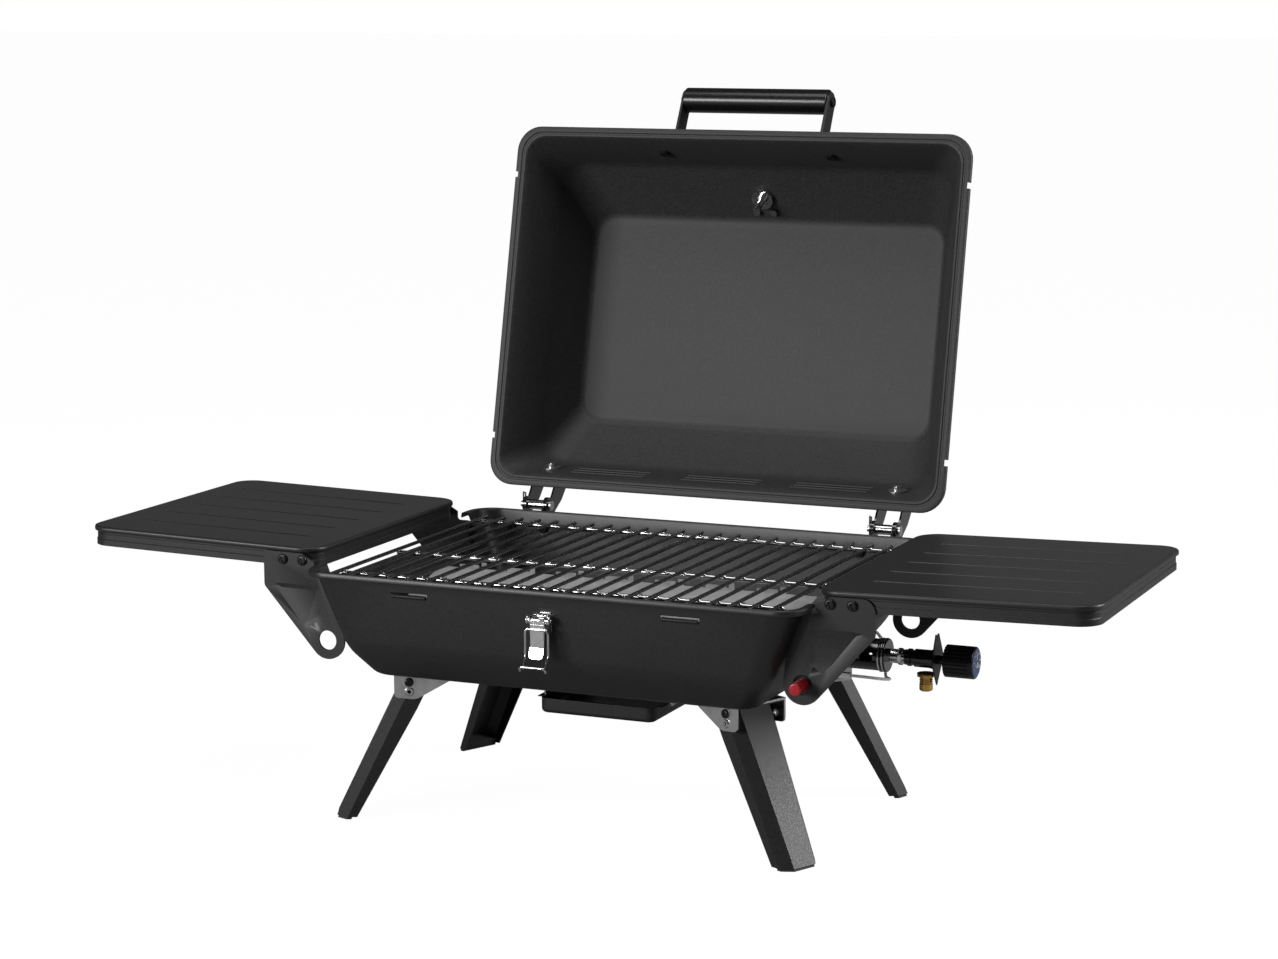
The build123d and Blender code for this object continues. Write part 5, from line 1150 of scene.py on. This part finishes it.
def make_valve_plate():
    """Sprung lozenge plate with a forked top and sides that bend towards the knob."""
    x = VALVE_PLATE_X
    bm = bmesh.new()
    outline = [(0, -23.0), (7.5, -12.5), (16.0, 0), (11.5, 9.5), (4.0, 23.0), (2.4, 23.0), (0, 17.0),
               (-2.4, 23.0), (-4.0, 23.0), (-11.5, 9.5), (-16.0, 0), (-7.5, -12.5)]
    bm.faces.new([bm.verts.new((x + 0.2, y, GAS_Z + z)) for y, z in outline])
    pull(bm, bm.faces[:], (VALVE_PLATE_SHEET, 0, 0))
    bmesh.ops.triangulate(bm, faces=bm.faces[:])
    bmesh.ops.subdivide_edges(bm, edges=bm.edges[:], cuts=3, use_grid_fill=True)
    for vert in bm.verts:
        if abs(vert.co.y) > 4:
            vert.co.x += PLATE_BEND * vert.co.y ** 2
    face_out(bm)
    bores = bmesh.new()
    add_bar(bores, (x - 2, 0, GAS_Z), (x + 6, 0, GAS_Z), STEM_BORE, 28)
    for y in PLATE_SCREWS_Y:
        add_bar(bores, (x - 2, y, GAS_Z), (x + 6, y, GAS_Z), 1.5, 16)
    finish_piece(carved(bm, bores), "valve_plate_pressing", "firebox", "black_paint", ("valve_plate",))


make_igniter()
make_valve_plate()
finish_piece(node_copy("lid_handle_tube"), "lid_grip", "lid", "black_plastic", ("lid_handle_tube",),
             softness=0.8)
# nodes whose own shape stays, with its hard edges broken: the body and the finish of each
SOFTENED = {
    "lid_handle_arms": ("lid", "black_paint"),
    "lid_hinge_arms": ("lid", "gloss_black"),
    "tub_hinge_brackets": ("firebox", "gloss_black"),
    "drip_tray": ("drip_tray", "black_paint"),
    "venturi_tube": ("firebox", "gloss_black"),
}
for node, (body, slot) in SOFTENED.items():
    finish_piece(node_copy(node, MM), node + "_soft", body, slot, (node,), softness=0.35, scaled=True)


# ---- floor and light ----
def make_floor():
    """Wide pale floor; the eye sees it near white, with the shadows the lamps leave on it."""
    bm = bmesh.new()
    bmesh.ops.create_grid(bm, x_segments=1, y_segments=1, size=30.0)
    floor = put_in_scene(bm, "floor")
    paper = bpy.data.materials.new("paper")
    paper.use_nodes = True
    tree = paper.node_tree
    cloth = tree.nodes["Principled BSDF"]
    cloth.inputs["Base Color"].default_value = (0.3, 0.3, 0.3, 1)
    cloth.inputs["Roughness"].default_value = 0.95
    cloth.inputs["Specular IOR Level"].default_value = 0.1
    glow = tree.nodes.new("ShaderNodeEmission")
    glow.inputs["Strength"].default_value = 1.14
    mix = tree.nodes.new("ShaderNodeMixShader")
    path = tree.nodes.new("ShaderNodeLightPath")
    share = tree.nodes.new("ShaderNodeMath")
    share.operation = "MULTIPLY"
    share.inputs[1].default_value = 0.86
    tree.links.new(path.outputs["Is Camera Ray"], share.inputs[0])
    tree.links.new(share.outputs[0], mix.inputs[0])
    tree.links.new(cloth.outputs[0], mix.inputs[1])
    tree.links.new(glow.outputs[0], mix.inputs[2])
    tree.links.new(mix.outputs[0], tree.nodes["Material Output"].inputs["Surface"])
    floor.data.materials.append(paper)


def add_lamp(name, place, aim, size, power):
    """Soft box light: place and aim in metres, size (width, height), power in watts."""
    data = bpy.data.lights.new(name, "AREA")
    data.shape = "RECTANGLE"
    data.size, data.size_y = size
    data.energy = power
    lamp = bpy.data.objects.new(name, data)
    bpy.context.scene.collection.objects.link(lamp)
    way = Vector(aim) - Vector(place)
    lamp.matrix_world = Matrix.Translation(place) @ way.to_track_quat("-Z", "Y").to_matrix().to_4x4()


def make_world():
    """White backdrop for the eye, dim as a source of light."""
    world = bpy.data.worlds.new("studio")
    bpy.context.scene.world = world
    world.use_nodes = True
    tree = world.node_tree
    backdrop = tree.nodes["Background"]
    backdrop.inputs["Color"].default_value = (1, 1, 1, 1)
    path = tree.nodes.new("ShaderNodeLightPath")
    share = tree.nodes.new("ShaderNodeMapRange")
    share.inputs["To Min"].default_value = 0.07
    share.inputs["To Max"].default_value = 1.0
    tree.links.new(path.outputs["Is Camera Ray"], share.inputs["Value"])
    tree.links.new(share.outputs["Result"], backdrop.inputs["Strength"])


make_floor()
make_world()
bpy.context.scene.view_settings.view_transform = "Standard"
add_lamp("key_front_left", (-1.7, -2.9, 1.05), (0.05, 0.1, 0.4), (1.3, 1.0), 95)
add_lamp("strip_right_rear", (2.1, 0.7, 1.25), (0.2, -0.1, 0.12), (0.7, 1.3), 60)
add_lamp("rear_left_box", (-0.9, 2.3, 0.9), (0, 0, 0.24), (2.4, 0.8), 1.0)
add_lamp("top_box", (0.1, -0.5, 2.4), (0, -0.1, 0.3), (1.8, 1.0), 26)

bpy.context.view_layer.update()
